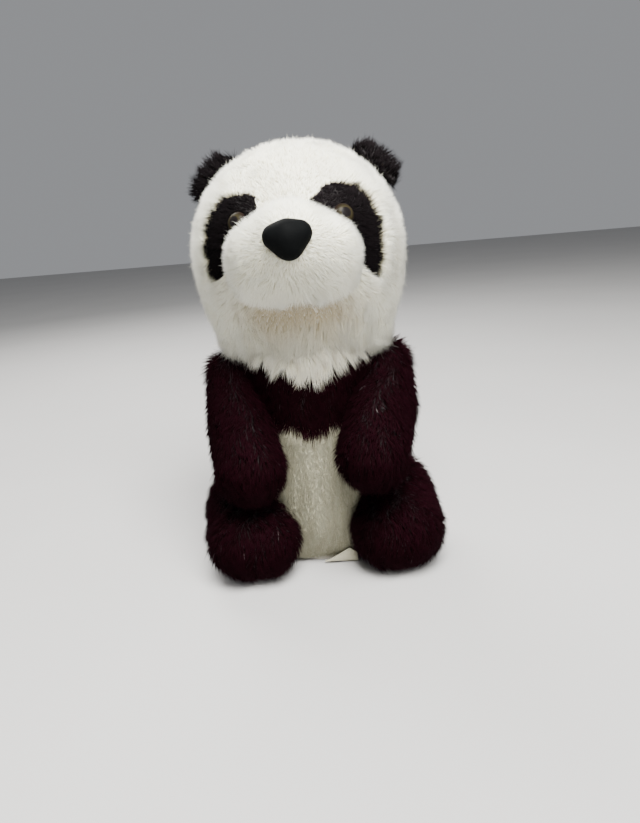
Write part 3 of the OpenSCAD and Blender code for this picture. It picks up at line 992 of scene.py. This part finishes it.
@dataclass
class Head:
    """The head, with its muzzle, eye patches, eyes and nose, in its own tilted frame."""

    pile: float = 6 * MM
    skin_depth: float = 5 * MM
    radius: float = 57 * MM
    cheek_radius: float = 34 * MM
    cheek_aside: float = 20 * MM
    cheek_drop: float = 17 * MM
    face_up: float = 12
    face_aside: float = 3
    gusset_half: float = 22 * MM
    throat_half: float = 30 * MM
    throat_drop: float = 20 * MM
    reach: float = 72 * MM
    nose_drop: float = 5 * MM
    hollow_depth: float = 0.6 * MM
    patch_left: tuple[tuple[float, float], ...] = (
        (9, 15.5), (13, 17.5), (15.5, 21.5), (20, 24), (25.5, 24), (31.5, 23), (37, 17),
        (40.5, 8), (41.5, -2), (40.5, -12), (38, -19.5), (36, -19), (27, -10), (15, 5),
    )
    patch_right: tuple[tuple[float, float], ...] = (
        (14, 17), (17, 21), (24, 22), (31.5, 22), (38, 15), (41.5, 8), (42.5, -1),
        (41.5, -10), (39.5, -15), (36, -15), (27, -8), (15, 5),
    )
    centre: Vector = field(init=False)
    turn: Matrix = field(init=False)

    def __post_init__(self) -> None:
        """Finds the head's centre from the frame, and sets its tilt from face_up and face_aside."""
        low, high = span("head_gusset", "head_side_left", "head_side_right")
        self.centre = Vector((0, 0, high.z - self.radius * 0.995))
        self.turn = Euler(
            (-math.radians(self.face_up), 0, -math.radians(self.face_aside)), "XYZ"
        ).to_matrix()

    def out(self, x: float, y: float, z: float) -> Vector:
        """A point of the head's own frame, in the row frame."""
        return self.centre + self.turn @ Vector((x, y, z))

    def inside(self, places: np.ndarray) -> np.ndarray:
        """Points of the row frame, in the head's own frame."""
        return (places - np.array(self.centre)) @ np.array(self.turn)

    def skull_balls(self, inset: float) -> list[Ball]:
        """The balls that the head's hull goes round.

        Args:
            inset: how much smaller the balls are than the outside of the fur.

        Returns:
            The balls, largest first.
        """
        cheeks = [
            Ball(self.out(side * self.cheek_aside, -2 * MM, -self.cheek_drop),
                 self.cheek_radius - inset)
            for side in (-1, 1)
        ]
        jowls = [
            Ball(self.out(side * 30 * MM, 0, -34 * MM), 19.5 * MM - inset) for side in (-1, 1)
        ]
        return [Ball(self.out(0, 0, 0), self.radius - inset), *cheeks, *jowls]

    def muzzle_balls(self, inset: float) -> list[Ball]:
        """The balls that the muzzle's hull goes round.

        Args:
            inset: how much smaller the balls are than the outside of the fur.

        Returns:
            The balls: both sides, the bridge and the tip.
        """
        side_r, bridge_r, tip_r = 21.5 * MM, 19 * MM, 22 * MM
        sides = [
            Ball(self.out(side * 12 * MM, side_r + 7 * MM - self.reach, -9 * MM), side_r - inset)
            for side in (-1, 1)
        ]
        return [
            *sides,
            Ball(self.out(0, bridge_r + 8 * MM - self.reach, 0), bridge_r - inset),
            Ball(self.out(0, tip_r - self.reach, -self.nose_drop), tip_r - inset),
        ]

    def build(self) -> None:
        """Builds and dresses the whole head."""
        skull = SoftForm("head_skin", self.skull_balls(self.skin_depth), puff=1.0 * MM).build()
        skull.data.materials.append(Look.WHITE_CLOTH.material())
        self._hollow_throat(skull)
        muzzle = SoftForm(
            "muzzle_backing", self.muzzle_balls(self.skin_depth - 1 * MM), voxel=2.0 * MM,
            puff=0.8 * MM
        ).build()
        muzzle.data.materials.append(Look.WHITE_CLOTH.material())
        for skin in (skull, muzzle):
            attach(skin, "head")
        skull.data.materials.append(Look.DARK_CLOTH.material())
        middles = np.array([face.center for face in skull.data.polygons])
        dark = self.in_patch(middles, 1) | self.in_patch(middles, -1)
        skull.data.polygons.foreach_set("material_index", dark.astype(np.int32))
        self._fur_on_skull(skull)
        self._fur_on_muzzle(muzzle)
        for side, name in ((1, "left"), (-1, "right")):
            Eye(name, self).build()
        Nose(self).build()

    def _hollow_throat(self, skull: bpy.types.Object) -> None:
        """Draws the throat in under the muzzle."""
        places = corners(skull)
        set_corners(skull, places + self.hollow(places))

    def hollow(self, places: np.ndarray) -> np.ndarray:
        """How far the throat is drawn in at each point, as a vector.

        Args:
            places: points, one a row.

        Returns:
            One vector a point.
        """
        x, y, z = self.inside(places).T
        deep = np.exp(-((x / (24 * MM)) ** 2)) * np.exp(-(((z + 31 * MM) / (9 * MM)) ** 2))
        deep *= np.clip(-y / (15 * MM), 0, 1)
        inward = np.array(self.turn @ Vector((0, 1, 0.15)))
        return deep[:, None] * inward * self.hollow_depth

    def in_patch(self, places: np.ndarray, side: int) -> np.ndarray:
        """Which points lie in one eye patch.

        Args:
            places: points, one a row.
            side: 1 for the left, -1 for the right.

        Returns:
            True for each such point.
        """
        local = self.inside(places)
        outline = np.array(self.patch_left if side > 0 else self.patch_right) * MM
        inside = within(np.stack([side * local[:, 0], local[:, 2]], axis=1), outline)
        return inside & (local[:, 1] < -15 * MM)

    def clear_eyes(self, places: np.ndarray) -> np.ndarray:
        """Which points are clear of both eyes.

        Args:
            places: points, one a row.

        Returns:
            True for each such point.
        """
        free = np.ones(len(places), dtype=bool)
        for side in (1, -1):
            seat = np.array(self.eye_seat(side)[0])
            free &= np.linalg.norm(places - seat, axis=1) > 3.1 * MM
        return free

    def eye_seat(self, side: int) -> tuple[Vector, Vector]:
        """Where an eye sits on the backing, and the way it looks.

        Args:
            side: 1 for the left, -1 for the right.

        Returns:
            The seat, and a direction of length one.
        """
        aside, up = math.radians(28), math.radians(9)
        out = Vector(
            (side * math.sin(aside) * math.cos(up), -math.cos(aside) * math.cos(up), math.sin(up))
        )
        out = self.turn @ out
        return self.centre + out * (self.radius - 5 * MM), out

    def clear_face(self, places: np.ndarray) -> np.ndarray:
        """Which points are clear of the muzzle and the eyes.

        Args:
            places: points, one a row.

        Returns:
            True for each such point.
        """
        free = self.clear_eyes(places)
        for ball in self.muzzle_balls(8.5 * MM):
            free &= np.linalg.norm(places - np.array(ball.at), axis=1) > ball.radius
        return free

    def outward(self, places: np.ndarray, _: np.ndarray) -> np.ndarray:
        """Fur combed away from the nose, and down at the back of the head.

        Args:
            places: points, one a row.
            _: the skin's normals, which this combing doesn't need.

        Returns:
            One direction a point.
        """
        nose = np.array(self.out(0, -self.reach, -self.nose_drop))
        away = unit(places - nose)
        x, y, z = self.inside(places).T
        back = np.clip((y + 5 * MM) / (45 * MM), 0, 1)
        low = np.clip((-20 * MM - z) / (18 * MM), 0, 1) * 0.85
        beside = np.clip((np.abs(x) - 32 * MM) / (18 * MM), 0, 1)
        beside *= np.clip((12 * MM - z) / (30 * MM), 0, 1) * 0.8
        share = np.maximum(np.maximum(back, low), beside)[:, None]
        return away * (1 - share) + np.array([0, 0, -1.0]) * share

    def _fur_on_skull(self, skull: bpy.types.Object) -> None:
        """Plants the crown, the sides, the throat and the eye patches.

        Args:
            skull: the head's skin.
        """
        planter = Planter(skull, "head", 11)

        def parts(places: np.ndarray) -> dict[str, np.ndarray]:
            """Which panel of the head each point lies in.

            Args:
                places: points, one a row.

            Returns:
                For each panel, True for each point in it.
            """
            x, y, z = self.inside(places).T
            throat = (np.abs(x) < self.throat_half) & (y < 10 * MM) & (z < -self.throat_drop)
            left, right = self.in_patch(places, 1), self.in_patch(places, -1)
            rest = ~throat & ~left & ~right
            strip = np.abs(x) < self.gusset_half
            return {
                "throat_panel": throat & ~left & ~right,
                "eye_patch_left": left,
                "eye_patch_right": right,
                "head_gusset": strip & rest,
                "head_side_left": (x > 0) & ~strip & rest,
                "head_side_right": (x < 0) & ~strip & rest,
            }

        def ruff(places: np.ndarray) -> np.ndarray:
            """Longer fur at the jaw, shorter in the hollow under the muzzle.

            Args:
                places: points, one a row.

            Returns:
                A factor on each strand's length.
            """
            x, y, z = self.inside(places).T
            long = np.clip((-34 * MM - z) / (10 * MM), 0, 1) * 0.9
            hollow = np.clip((-y - 14 * MM) / (8 * MM), 0, 1)
            hollow = hollow * np.clip((z + 44 * MM) / (8 * MM), 0, 1)
            return 1 + long - 0.6 * hollow * np.clip((30 * MM - np.abs(x)) / (8 * MM), 0, 1)

        def bare(places: np.ndarray) -> np.ndarray:
            """Which points are clear of the face, and far enough from the patches not to cover them.

            Args:
                places: points, one a row.

            Returns:
                True for each such point.
            """
            ahead = places + unit(self.outward(places, places)) * 2.5 * MM
            spotted = self.in_patch(ahead, 1) | self.in_patch(ahead, -1)
            return self.clear_face(places) & ~spotted

        def tone_and_shade(places: np.ndarray) -> np.ndarray:
            """A duller hollow under the muzzle, mostly painted shade and partly the throat's own
            warmer tint, and faint streaks.

            Args:
                places: points, one a row.

            Returns:
                What is added to each strand's tint.
            """
            x, y, z = self.inside(places).T
            # Painted shade in the hollow under the muzzle, with a little of the throat's real warm
            # tint.
            hollow = np.exp(-((x / (25 * MM)) ** 4)) * np.exp(-(((z + 31 * MM) / (9 * MM)) ** 2))
            hollow *= np.clip(-y / (12 * MM), 0, 1)
            return hollow * 0.95 - 0.05 + streaks(places, 4.5 * MM, 3) * 0.09

        coats = {
            "head_gusset": WHITE, "head_side_left": WHITE, "head_side_right": WHITE,
            "throat_panel": THROAT, "eye_patch_left": PATCH, "eye_patch_right": PATCH,
        }
        for node, coat in coats.items():
            planter.plant(
                Plot(
                    f"{node}_fur", coat, lambda places, node=node: parts(places)[node],
                    self.outward, (node,), ruff,
                    "dark_fur" if coat is PATCH else "white_fur",
                    self.clear_face if coat is PATCH else bare,
                    None if coat is PATCH else tone_and_shade, 0.5,
                )
            )

    def _fur_on_muzzle(self, muzzle: bpy.types.Object) -> None:
        """Plants the muzzle, short round the nose.

        Args:
            muzzle: the muzzle's skin.
        """
        planter = Planter(muzzle, "head", 23)
        low, high = span("nose")
        nose = np.array((low + high) / 2)
        skull = self.skull_balls(self.skin_depth + 1 * MM)

        def clear(places: np.ndarray) -> np.ndarray:
            """Which points are clear of the eyes, the nose and the skull.

            Args:
                places: points, one a row.

            Returns:
                True for each such point.
            """
            free = self.clear_eyes(places)
            free &= np.linalg.norm(places - nose, axis=1) > 7.5 * MM
            lifted = places - self.hollow(places)
            for ball in skull:
                free &= np.linalg.norm(lifted - np.array(ball.at), axis=1) > ball.radius
            return free

        def scale(places: np.ndarray) -> np.ndarray:
            """Short fur by the nose, and a longer fringe below.

            Args:
                places: points, one a row.

            Returns:
                A factor on each strand's length.
            """
            away = np.linalg.norm(places - nose, axis=1)
            fringe = np.clip((-16 * MM - self.inside(places)[:, 2]) / (8 * MM), 0, 1) * 0.6
            return np.clip((away - 6 * MM) / (16 * MM), 0, 1) * 0.55 + 0.45 + fringe

        def tone_and_shade(places: np.ndarray) -> np.ndarray:
            """Darker, warmer fur towards the chin, painted shade where the muzzle turns under, and
            faint streaks.

            Args:
                places: points, one a row.

            Returns:
                What is added to each strand's tint.
            """
            z = self.inside(places)[:, 2]
            # Painted shade: duller, warmer fur towards the chin, where the muzzle turns under.
            chin_shade = np.clip((-12 * MM - z) / (16 * MM), 0, 1) * 0.15 - 0.12
            return chin_shade + streaks(places, 4 * MM, 4) * 0.06

        planter.plant(
            Plot(
                "muzzle_fur", MUZZLE, lambda places: np.ones(len(places), dtype=bool),
                self.outward, ("muzzle_skin",), scale, "white_fur", clear, tone_and_shade,
            )
        )


def within(points: np.ndarray, outline: np.ndarray) -> np.ndarray:
    """Which points of a plane lie inside an outline.

    Args:
        points: x and y, one point a row.
        outline: the outline's corners in order.

    Returns:
        True for each point inside.
    """
    inside = np.zeros(len(points), dtype=bool)
    for (x0, y0), (x1, y1) in zip(outline, np.roll(outline, -1, axis=0)):
        crosses = (y0 > points[:, 1]) != (y1 > points[:, 1])
        at = x0 + (points[:, 1] - y0) / (y1 - y0 if y1 != y0 else 1e-12) * (x1 - x0)
        inside ^= crosses & (points[:, 0] < at)
    return inside


@dataclass
class Eye:
    """A domed plastic eye with a streaked iris, set in the fur."""

    name: str
    head: Head
    radius: float = 5 * MM
    dome: float = 3.3 * MM
    sunk: float = 1.2 * MM
    flat_back: float = 1.2 * MM

    def build(self) -> bpy.types.Object:
        """Models the dome on the CAD eye's place and gives it its iris.

        Returns:
            The eye.
        """
        seat, out = self.head.eye_seat(1 if self.name == "left" else -1)
        seat = seat - out * self.sunk
        bpy.ops.mesh.primitive_uv_sphere_add(segments=48, ring_count=24, radius=self.radius)
        eye = bpy.context.active_object
        bpy.ops.object.mode_set(mode="EDIT")
        bpy.ops.mesh.select_all(action="SELECT")
        bpy.ops.mesh.bisect(
            plane_co=(0, 0, -self.flat_back), plane_no=(0, 0, 1), clear_inner=True, use_fill=True
        )
        bpy.ops.mesh.select_all(action="SELECT")
        bpy.ops.transform.resize(value=(1, 1, self.dome / self.radius))
        bpy.ops.object.mode_set(mode="OBJECT")
        mesh = eye.data
        layer = mesh.uv_layers.new(name="iris")
        for loop in mesh.loops:
            x, y, _ = mesh.vertices[loop.vertex_index].co
            layer.data[loop.index].uv = (
                math.hypot(x, y) / self.radius, math.atan2(y, x) / (2 * math.pi) + 0.5
            )
        facing = out.to_track_quat("Z", "Y").to_matrix().to_4x4()
        eye.matrix_world = Matrix.Translation(seat) @ facing
        settle(eye, f"eye_{self.name}_dome")
        bpy.ops.object.shade_smooth()
        eye.data.materials.append(Look.EYE.material())
        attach(eye, "head")
        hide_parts(f"eye_{self.name}")
        LOG.info("%s", eye.name)
        return eye


@dataclass
class Nose:
    """A moulded nose: a rounded triangle, broad at the top, with softened edges."""

    head: Head

    def build(self) -> bpy.types.Object:
        """Models the nose where the CAD nose is.

        Returns:
            The nose.
        """
        width, height, corner, bulge, thick = 21.5 * MM, 17.5 * MM, 5.5 * MM, 7.9 * MM, 8 * MM
        lumps = [
            (width / 2 - corner, 2 * MM, 0, corner),
            (corner - width / 2, 2 * MM, 0, corner),
            (0, 6.8 * MM - height / 2, 0, 6.8 * MM),
            (0, height / 2 - bulge, thick - bulge, bulge),
        ]
        seat = self.head.out(0, -self.head.reach + 5 * MM, -self.head.nose_drop)
        turn = self.head.turn @ Euler((math.radians(90), 0, 0)).to_matrix()
        turn = turn @ Matrix.Rotation(math.radians(5), 3, "Z")
        balls = [Ball(seat + turn @ Vector((x, y, z)), r) for x, y, z, r in lumps]
        nose = SoftForm("nose_cap", balls, voxel=0.7 * MM, puff=0.0).build()
        nose.data.materials.append(Look.NOSE.material())
        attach(nose, "head")
        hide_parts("nose")
        return nose


@dataclass
class Ear:
    """One ear: a flat stuffed flap with fur on both layers."""

    name: str
    head: Head
    width: float = 37 * MM
    height: float = 12.5 * MM
    thick: float = 10 * MM
    inset: float = 3.4 * MM
    splay: float = 44

    def build(self) -> None:
        """Builds the ear's skin and plants both layers."""
        root = pivot(f"ear_{self.name}_fold")
        across = Vector(joint(f"ear_{self.name}_fold")["axis"]).normalized()
        side = 1 if self.name == "left" else -1
        tilt = math.radians(self.splay)
        up = self.head.turn @ Vector((side * math.sin(tilt), 0, math.cos(tilt)))
        r = self.thick / 2
        spots = [
            (self.width / 2 - r, 0), (r - self.width / 2, 0),
            (self.width / 4, self.height - r - 2 * MM),
            (-self.width / 4, self.height - r - 2 * MM), (0, self.height - r),
        ]
        balls = [Ball(root + across * x + up * z, r - self.inset) for x, z in spots]
        skin = SoftForm(f"ear_{self.name}_skin", balls, voxel=1.2 * MM, puff=0.4 * MM).build()
        skin.data.materials.append(Look.DARK_CLOTH.material())
        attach(skin, f"ear_{self.name}")
        planter = Planter(skin, f"ear_{self.name}", 31 if side > 0 else 37)
        forward = np.array(across.cross(up))
        if forward[1] > 0:
            forward = -forward
        base = np.array(root)
        tip = np.array(up)
        for layer, sign in (("front", 1), ("back", -1)):
            planter.plant(
                Plot(
                    f"ear_{self.name}_{layer}_fur", EAR,
                    lambda places, sign=sign: sign * ((places - base) @ forward) >= 0,
                    lambda places, _: np.broadcast_to(tip, places.shape) * 1.0
                    + unit(places - base) * 0.5,
                    (f"ear_{self.name}_{layer}",), None, "dark_fur",
                )
            )


@dataclass
class Limb:
    """An arm or a leg: a stuffed skin with fur combed towards its end."""

    name: str
    balls: Sequence[Ball]
    comb: Field
    seed: int
    floor: float | None = None
    bare_below: float = 1.5 * MM

    def build(self) -> None:
        """Builds the limb's skin and plants its outer and inner panel."""
        skin = SoftForm(f"{self.name}_skin", self.balls, puff=1.2 * MM, floor=self.floor).build()
        skin.data.materials.append(Look.DARK_CLOTH.material())
        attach(skin, self.name)
        planter = Planter(skin, self.name, self.seed)
        low, high = span(f"{self.name}_outer")
        side = 1 if "left" in self.name else -1
        seam = low.x if side > 0 else high.x
        for panel, sign in (("outer", 1), ("inner", -1)):
            planter.plant(
                Plot(
                    f"{self.name}_{panel}_fur", DARK,
                    lambda places, sign=sign: side * sign * (places[:, 0] - seam) >= 0,
                    self.comb, (f"{self.name}_{panel}",), None, "dark_fur",
                    lambda places: places[:, 2] > self.bare_below,
                )
            )


def arm(name: str, seed: int) -> Limb:
    """An arm, from the frame's shoulder to its paw.

    Args:
        name: arm_left or arm_right.
        seed: where its random draws start.

    Returns:
        The arm, ready to build.
    """
    shoulder = pivot(f"{name}_lift")
    low, high = span(f"{name}_outer", f"{name}_inner")
    paw_r, inset = 18.5 * MM, 5.2 * MM
    side = 1 if "left" in name else -1
    inner_edge = low.x if side > 0 else high.x
    paw = Vector((inner_edge + side * paw_r, low.y + paw_r, low.z + paw_r))
    elbow = Vector((side * 40 * MM, -20 * MM, (shoulder.z + paw.z) / 2))
    balls = [
        Ball(shoulder + Vector((0, 0, 3 * MM)), 13.5 * MM - inset + 2 * MM),
        Ball(elbow, 16.5 * MM - inset + 1 * MM),
        Ball(paw, paw_r - inset + 1.7 * MM),
    ]
    way = np.array((paw - shoulder).normalized())

    def comb(places: np.ndarray, normals: np.ndarray) -> np.ndarray:
        """Combed towards the paw, and a little forward and down."""
        return np.broadcast_to(way, places.shape) + np.array([0, -0.45, -0.35])

    return Limb(name, balls, comb, seed)


def leg(name: str, seed: int) -> Limb:
    """A leg, from the frame's haunch to its foot.

    Args:
        name: leg_left or leg_right.
        seed: where its random draws start.

    Returns:
        The leg, ready to build.
    """
    haunch = pivot(f"{name}_splay")
    side = 1 if "left" in name else -1
    rest = math.radians(7 * side) if side > 0 else 0.0
    inset, foot_r = 5.2 * MM, 21 * MM
    turn = Matrix.Rotation(rest, 3, "Z")
    feet = [
        haunch + turn @ (Vector((side * x, -38 * MM, foot_r - 0.5 * MM))
                         - Vector((side * 40 * MM, -6 * MM, 26 * MM)))
        for x in (36 * MM - 4.5 * MM, 36 * MM + 4.5 * MM)
    ]
    balls = [
        Ball(haunch, 25 * MM - inset + 1.2 * MM),
        *(Ball(spot, foot_r - inset + 0.8 * MM) for spot in feet),
    ]

    def comb(places: np.ndarray, normals: np.ndarray) -> np.ndarray:
        """Combed down and forward."""
        return np.broadcast_to(np.array([0.0, -0.55, -0.85]), places.shape) * 1.0

    return Limb(name, balls, comb, seed, floor=2.5 * MM)


@dataclass
class Torso:
    """The torso: dark back and sides, a dark chest yoke, a white bib and a cream belly."""

    inset: float = 5.2 * MM
    collar: float = 40.5 * MM
    bib_tip: float = 104.5 * MM
    bib_slope: float = 0.42
    yoke_tip: float = 75 * MM
    yoke_slope: float = 0.3
    belly_half: float = 25 * MM

    def balls(self) -> list[Ball]:
        """The balls that the torso's hull goes round.

        Returns:
            The balls, from the neck down.
        """
        neck = pivot("head_turn")
        spots = [
            (neck, self.collar), (Vector((0, 0, 86 * MM)), 34 * MM),
            (Vector((0, 0, 52 * MM)), 39 * MM), (Vector((0, 10 * MM, 34 * MM)), 40 * MM),
            (Vector((0, -20 * MM, 16 * MM)), 18.5 * MM),
            (Vector((13 * MM, -23 * MM, 7.6 * MM)), 12.2 * MM),
            (Vector((-13 * MM, -23 * MM, 7.6 * MM)), 12.2 * MM),
            (Vector((31 * MM, 1 * MM, 101 * MM)), 17 * MM),
            (Vector((-31 * MM, 1 * MM, 101 * MM)), 17 * MM),
        ]
        return [Ball(at, radius - self.inset) for at, radius in spots]

    def build(self) -> None:
        """Builds the torso's skin and plants every panel."""
        skin = SoftForm("torso_skin", self.balls(), puff=1.4 * MM, floor=0.8 * MM).build()
        self._fill_belly(skin)
        skin.data.materials.append(Look.DARK_CLOTH.material())
        skin.data.materials.append(Look.CREAM_CLOTH.material())
        skin.data.materials.append(Look.WHITE_CLOTH.material())
        middles = np.array([face.center for face in skin.data.polygons])
        panels = self.panels(middles)
        slots = np.where(panels["belly_panel"], 1, np.where(panels["bib"], 2, 0))
        skin.data.polygons.foreach_set("material_index", slots.astype(np.int32))
        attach(skin, "torso")
        planter = Planter(skin, "torso", 41)
        coats = {
            "bib": (BIB, "white_fur"), "chest_yoke": (DARK, "dark_fur"),
            "belly_panel": (CREAM, "cream_plush"), "torso_left": (DARK, "dark_fur"),
            "torso_right": (DARK, "dark_fur"),
        }
        for node, (coat, slot) in coats.items():
            planter.plant(
                Plot(
                    f"{node}_fur", coat,
                    lambda places, node=node: self.panels(places)[node],
                    self.downward, (node,), None, slot,
                    self.showing if coat is BIB else self.below_bib,
                    self.tone_and_shade if coat in (CREAM, BIB) else None,
                    0.1 if node in ("bib", "chest_yoke") else 0.75,
                )
            )

    def _fill_belly(self, skin: bpy.types.Object) -> None:
        """Brings the short-piled belly out to its full depth, with soft upright folds.

        Args:
            skin: the skin to work on.
        """
        places = corners(skin)
        x, y, z = places.T
        yoke = self.yoke_tip + np.abs(x) * self.yoke_slope
        across = np.clip((self.belly_half + 3 * MM - np.abs(x)) / (8 * MM), 0, 1)
        under = np.clip((yoke + 2 * MM - z) / (6 * MM), 0, 1)
        front = np.clip((-y - 3 * MM) / (10 * MM), 0, 1) * np.clip(z / (22 * MM), 0.15, 1)
        fold = np.sin(x / (3.4 * MM) + z / (22 * MM)) * 0.35 * MM
        crease = np.exp(-(((x - 6 * MM) / (0.9 * MM)) ** 2))
        crease = crease * np.clip((40 * MM - z) / (15 * MM), 0, 1)
        out = (3.0 * MM + fold - crease * 1.3 * MM) * across * under * front
        normals = np.empty(len(places) * 3, dtype=np.float32)
        skin.data.vertices.foreach_get("normal", normals)
        set_corners(skin, places + normals.reshape(-1, 3) * out[:, None])

    def showing(self, places: np.ndarray) -> np.ndarray:
        """Which points can show: not under the floor, in the neck, or deep in a limb's root.

        Args:
            places: points, one a row.

        Returns:
            True for each such point.
        """
        free = (places[:, 2] > 1.8 * MM) & (places[:, 2] < 128 * MM)
        for name, radius in (("arm_left_lift", 7), ("arm_right_lift", 7),
                             ("leg_left_splay", 16), ("leg_right_splay", 16)):
            free &= np.linalg.norm(places - np.array(pivot(name)), axis=1) > radius * MM
        return free

    def below_bib(self, places: np.ndarray) -> np.ndarray:
        """Which showing points lie outside the bib, so that only its own fur covers it."""
        above = places + np.array([0, 0, 1.5 * MM])
        return self.showing(places) & ~self.panels(above)["bib"]

    def tone_and_shade(self, places: np.ndarray) -> np.ndarray:
        """Upright streaks of darker and lighter pile; pile darker towards the bottom, painted shade;
        and a duller bib, partly its own browner tint and partly painted shade under the head.

        Args:
            places: points, one a row.

        Returns:
            What is added to each strand's tint.
        """
        # Painted shade: darker towards the bottom.
        low = np.clip((34 * MM - places[:, 2]) / (40 * MM), 0, 1) * 0.3
        # A duller bib under the head: partly its own browner tint, partly painted shade.
        high = np.where(places[:, 2] > 100 * MM, 0.2, 0.0)
        return streaks(places, 3.5 * MM, 5) * 0.15 + low + high

    def panels(self, places: np.ndarray) -> dict[str, np.ndarray]:
        """Which panel each point lies in.

        Args:
            places: points, one a row.

        Returns:
            For each panel, True for each point in it.
        """
        x, y, z = places.T
        front = (np.abs(x) < self.belly_half) & (y < -5 * MM)
        bib = (z > self.bib_tip + np.abs(x) * self.bib_slope) & (y < 0)
        yoke = (z > self.yoke_tip + np.abs(x) * self.yoke_slope) & front
        return {
            "bib": bib,
            "chest_yoke": yoke & ~bib,
            "belly_panel": front & ~yoke & ~bib,
            "torso_left": ~front & ~bib & (x >= 0),
            "torso_right": ~front & ~bib & (x < 0),
        }

    def downward(self, places: np.ndarray, _: np.ndarray) -> np.ndarray:
        """Fur combed straight down."""
        return np.broadcast_to(np.array([0.0, 0.0, -1.0]), places.shape) * 1.0


@dataclass
class HemTab:
    """A corner of the belly's cloth, folded up over the hem."""

    low: float = 1.8 * MM
    width: float = 18 * MM
    rise: float = 7.5 * MM
    front: float = 33.2 * MM
    cloth: float = 0.6 * MM
    back_share: float = 0.7
    peak: float = 0.75
    blunt: float = 0.65

    def profile(self, along: np.ndarray) -> np.ndarray:
        """The flap's height along its fold, as a share of its rise: up to a peak, then down."""
        falling = (1 - along) / (1 - self.peak) * (1 - self.blunt) + self.blunt
        return np.minimum(along / self.peak, falling)

    def cut(self) -> tuple[tuple[float, float], float]:
        """The flat cloth's width and length, and the area of its tapered outline.

        Returns:
            The flat size, and the area in square metres.
        """
        length = self.rise * (1 + self.back_share)
        share = float(self.profile(np.linspace(0, 1, 401)).mean())
        return (self.width, length), self.width * length * share

    def build(self) -> bpy.types.Object:
        """Models the fold as one strip of cloth, turned round its lower edge.

        Returns:
            The folded tab.
        """
        box = span("hem_tab")
        bpy.ops.mesh.primitive_grid_add(x_subdivisions=16, y_subdivisions=16, size=2)
        tab = bpy.context.active_object
        flat = corners(tab)
        u, v = (flat[:, 0] + 1) / 2, flat[:, 1]
        side = np.abs(v)
        back = v > 0
        height = self.rise * self.profile(u) * side * np.where(back, self.back_share, 1.0)
        bow = 0.5 * MM * np.sin(u * math.pi) * side * ~back
        apart = np.where(back, 0.45, -0.45) * MM * np.minimum(side / 0.15, 1)
        x = box[0].x - 3 * MM + self.width * u + side * (self.peak - u) * 1.5 * MM
        y = -self.front + apart - bow + side * u * 0.8 * MM
        z = self.low * (1 - u * 0.55) + height
        set_corners(tab, np.stack([x, y, z], axis=1))
        apply_modifier(tab, "SOLIDIFY", thickness=self.cloth, offset=0.0)
        apply_modifier(tab, "BEVEL", width=0.15 * MM, segments=2)
        settle(tab, "hem_tab_fold")
        bpy.ops.object.shade_smooth()
        tab.data.materials.append(Look.TAB_CLOTH.material())
        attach(tab, "torso")
        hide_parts("hem_tab")
        size, area = self.cut()
        LOG.info("%s", tab.name)
        return tab


class Trim:
    """The CAD pieces that stay in their own shape."""

    looks: Mapping[str, Look] = {
        "stuffing": Look.FIBRE,
        "washer": Look.WASHER,
        "pellets": Look.PELLET,
        "bean_bag": Look.BAG_CLOTH,
        "seat_panel": Look.BAG_CLOTH,
    }

    def dress(self) -> None:
        """Gives every CAD node that stays its material."""
        for node, thing in frame["nodes"].items():
            for word, look in self.looks.items():
                if word in node:
                    thing.data.materials.clear()
                    thing.data.materials.append(look.material())


# ---------------------------------------------------------------- stage


@dataclass
class Stage:
    """A pale floor, soft studio light and the camera."""

    eye: Vector = Vector((4 * MM, -342 * MM, 181 * MM))
    pitch: float = 17
    roll: float = 4.7

    def build(self) -> None:
        """Places everything that isn't the toy."""
        bpy.ops.mesh.primitive_plane_add(size=6, location=(0, 0, 0))
        floor = settle(bpy.context.active_object, "floor")
        finish = Finish("floor")
        finish.surface(
            Base_Color=finish.mix(finish.noise(0.15), (0.36, 0.355, 0.35), (0.40, 0.395, 0.39)),
            Roughness=0.8,
        )
        floor.data.materials.append(finish.material)
        world = bpy.data.worlds.new("studio")
        bpy.context.scene.world = world
        world.use_nodes = True
        world.node_tree.nodes["Background"].inputs[0].default_value = (0.86, 0.88, 0.92, 1)
        world.node_tree.nodes["Background"].inputs[1].default_value = 0.34
        self._light("key", (0.12, -0.42, 0.88), 0.5, 42.0, (1.0, 0.99, 0.96))
        self._light("fill", (0.45, -0.75, 0.50), 0.7, 7.5, (1.0, 0.98, 0.95))
        self._light("back", (-0.30, 0.60, 0.70), 0.5, 12.0, (1.0, 0.98, 0.95))
        self._camera()

    def _light(
        self, name: str, at: tuple[float, float, float], size: float, power: float, colour: Colour
    ) -> None:
        """Adds one soft lamp that looks at the toy.

        Args:
            name: its name.
            at: where it stands.
            size: the lamp's width.
            power: its power in watts.
            colour: its colour.
        """
        bpy.ops.object.light_add(type="AREA", location=at)
        lamp = bpy.context.active_object
        lamp.name = name
        lamp.data.size = size
        lamp.data.energy = power
        lamp.data.color = colour
        aim = Vector((0, 0, 0.1)) - Vector(at)
        lamp.rotation_euler = aim.to_track_quat("-Z", "Y").to_euler()

    def _camera(self) -> None:
        """Adds the camera."""
        bpy.ops.object.camera_add(location=self.eye)
        camera = bpy.context.active_object
        turn = Matrix.Rotation(math.radians(90 - self.pitch), 4, "X")
        turn = turn @ Matrix.Rotation(-math.radians(self.roll), 4, "Z")
        camera.rotation_euler = turn.to_euler()
        camera.data.sensor_fit = "HORIZONTAL"
        camera.data.sensor_width = 36
        camera.data.lens = 36
        camera.data.clip_start = 0.01
        bpy.context.scene.camera = camera


def main() -> None:
    """Builds the toy part by part and sets the stage."""
    logging.basicConfig(level=logging.INFO, format="%(name)s %(message)s")
    Trim().dress()
    head = Head()
    head.build()
    for name in ("left", "right"):
        Ear(name, head).build()
    Torso().build()
    HemTab().build()
    for name, seed in (("arm_left", 51), ("arm_right", 53)):
        arm(name, seed).build()
    for name, seed in (("leg_left", 61), ("leg_right", 67)):
        leg(name, seed).build()
    Stage().build()


if __name__ == "__main__":
    main()
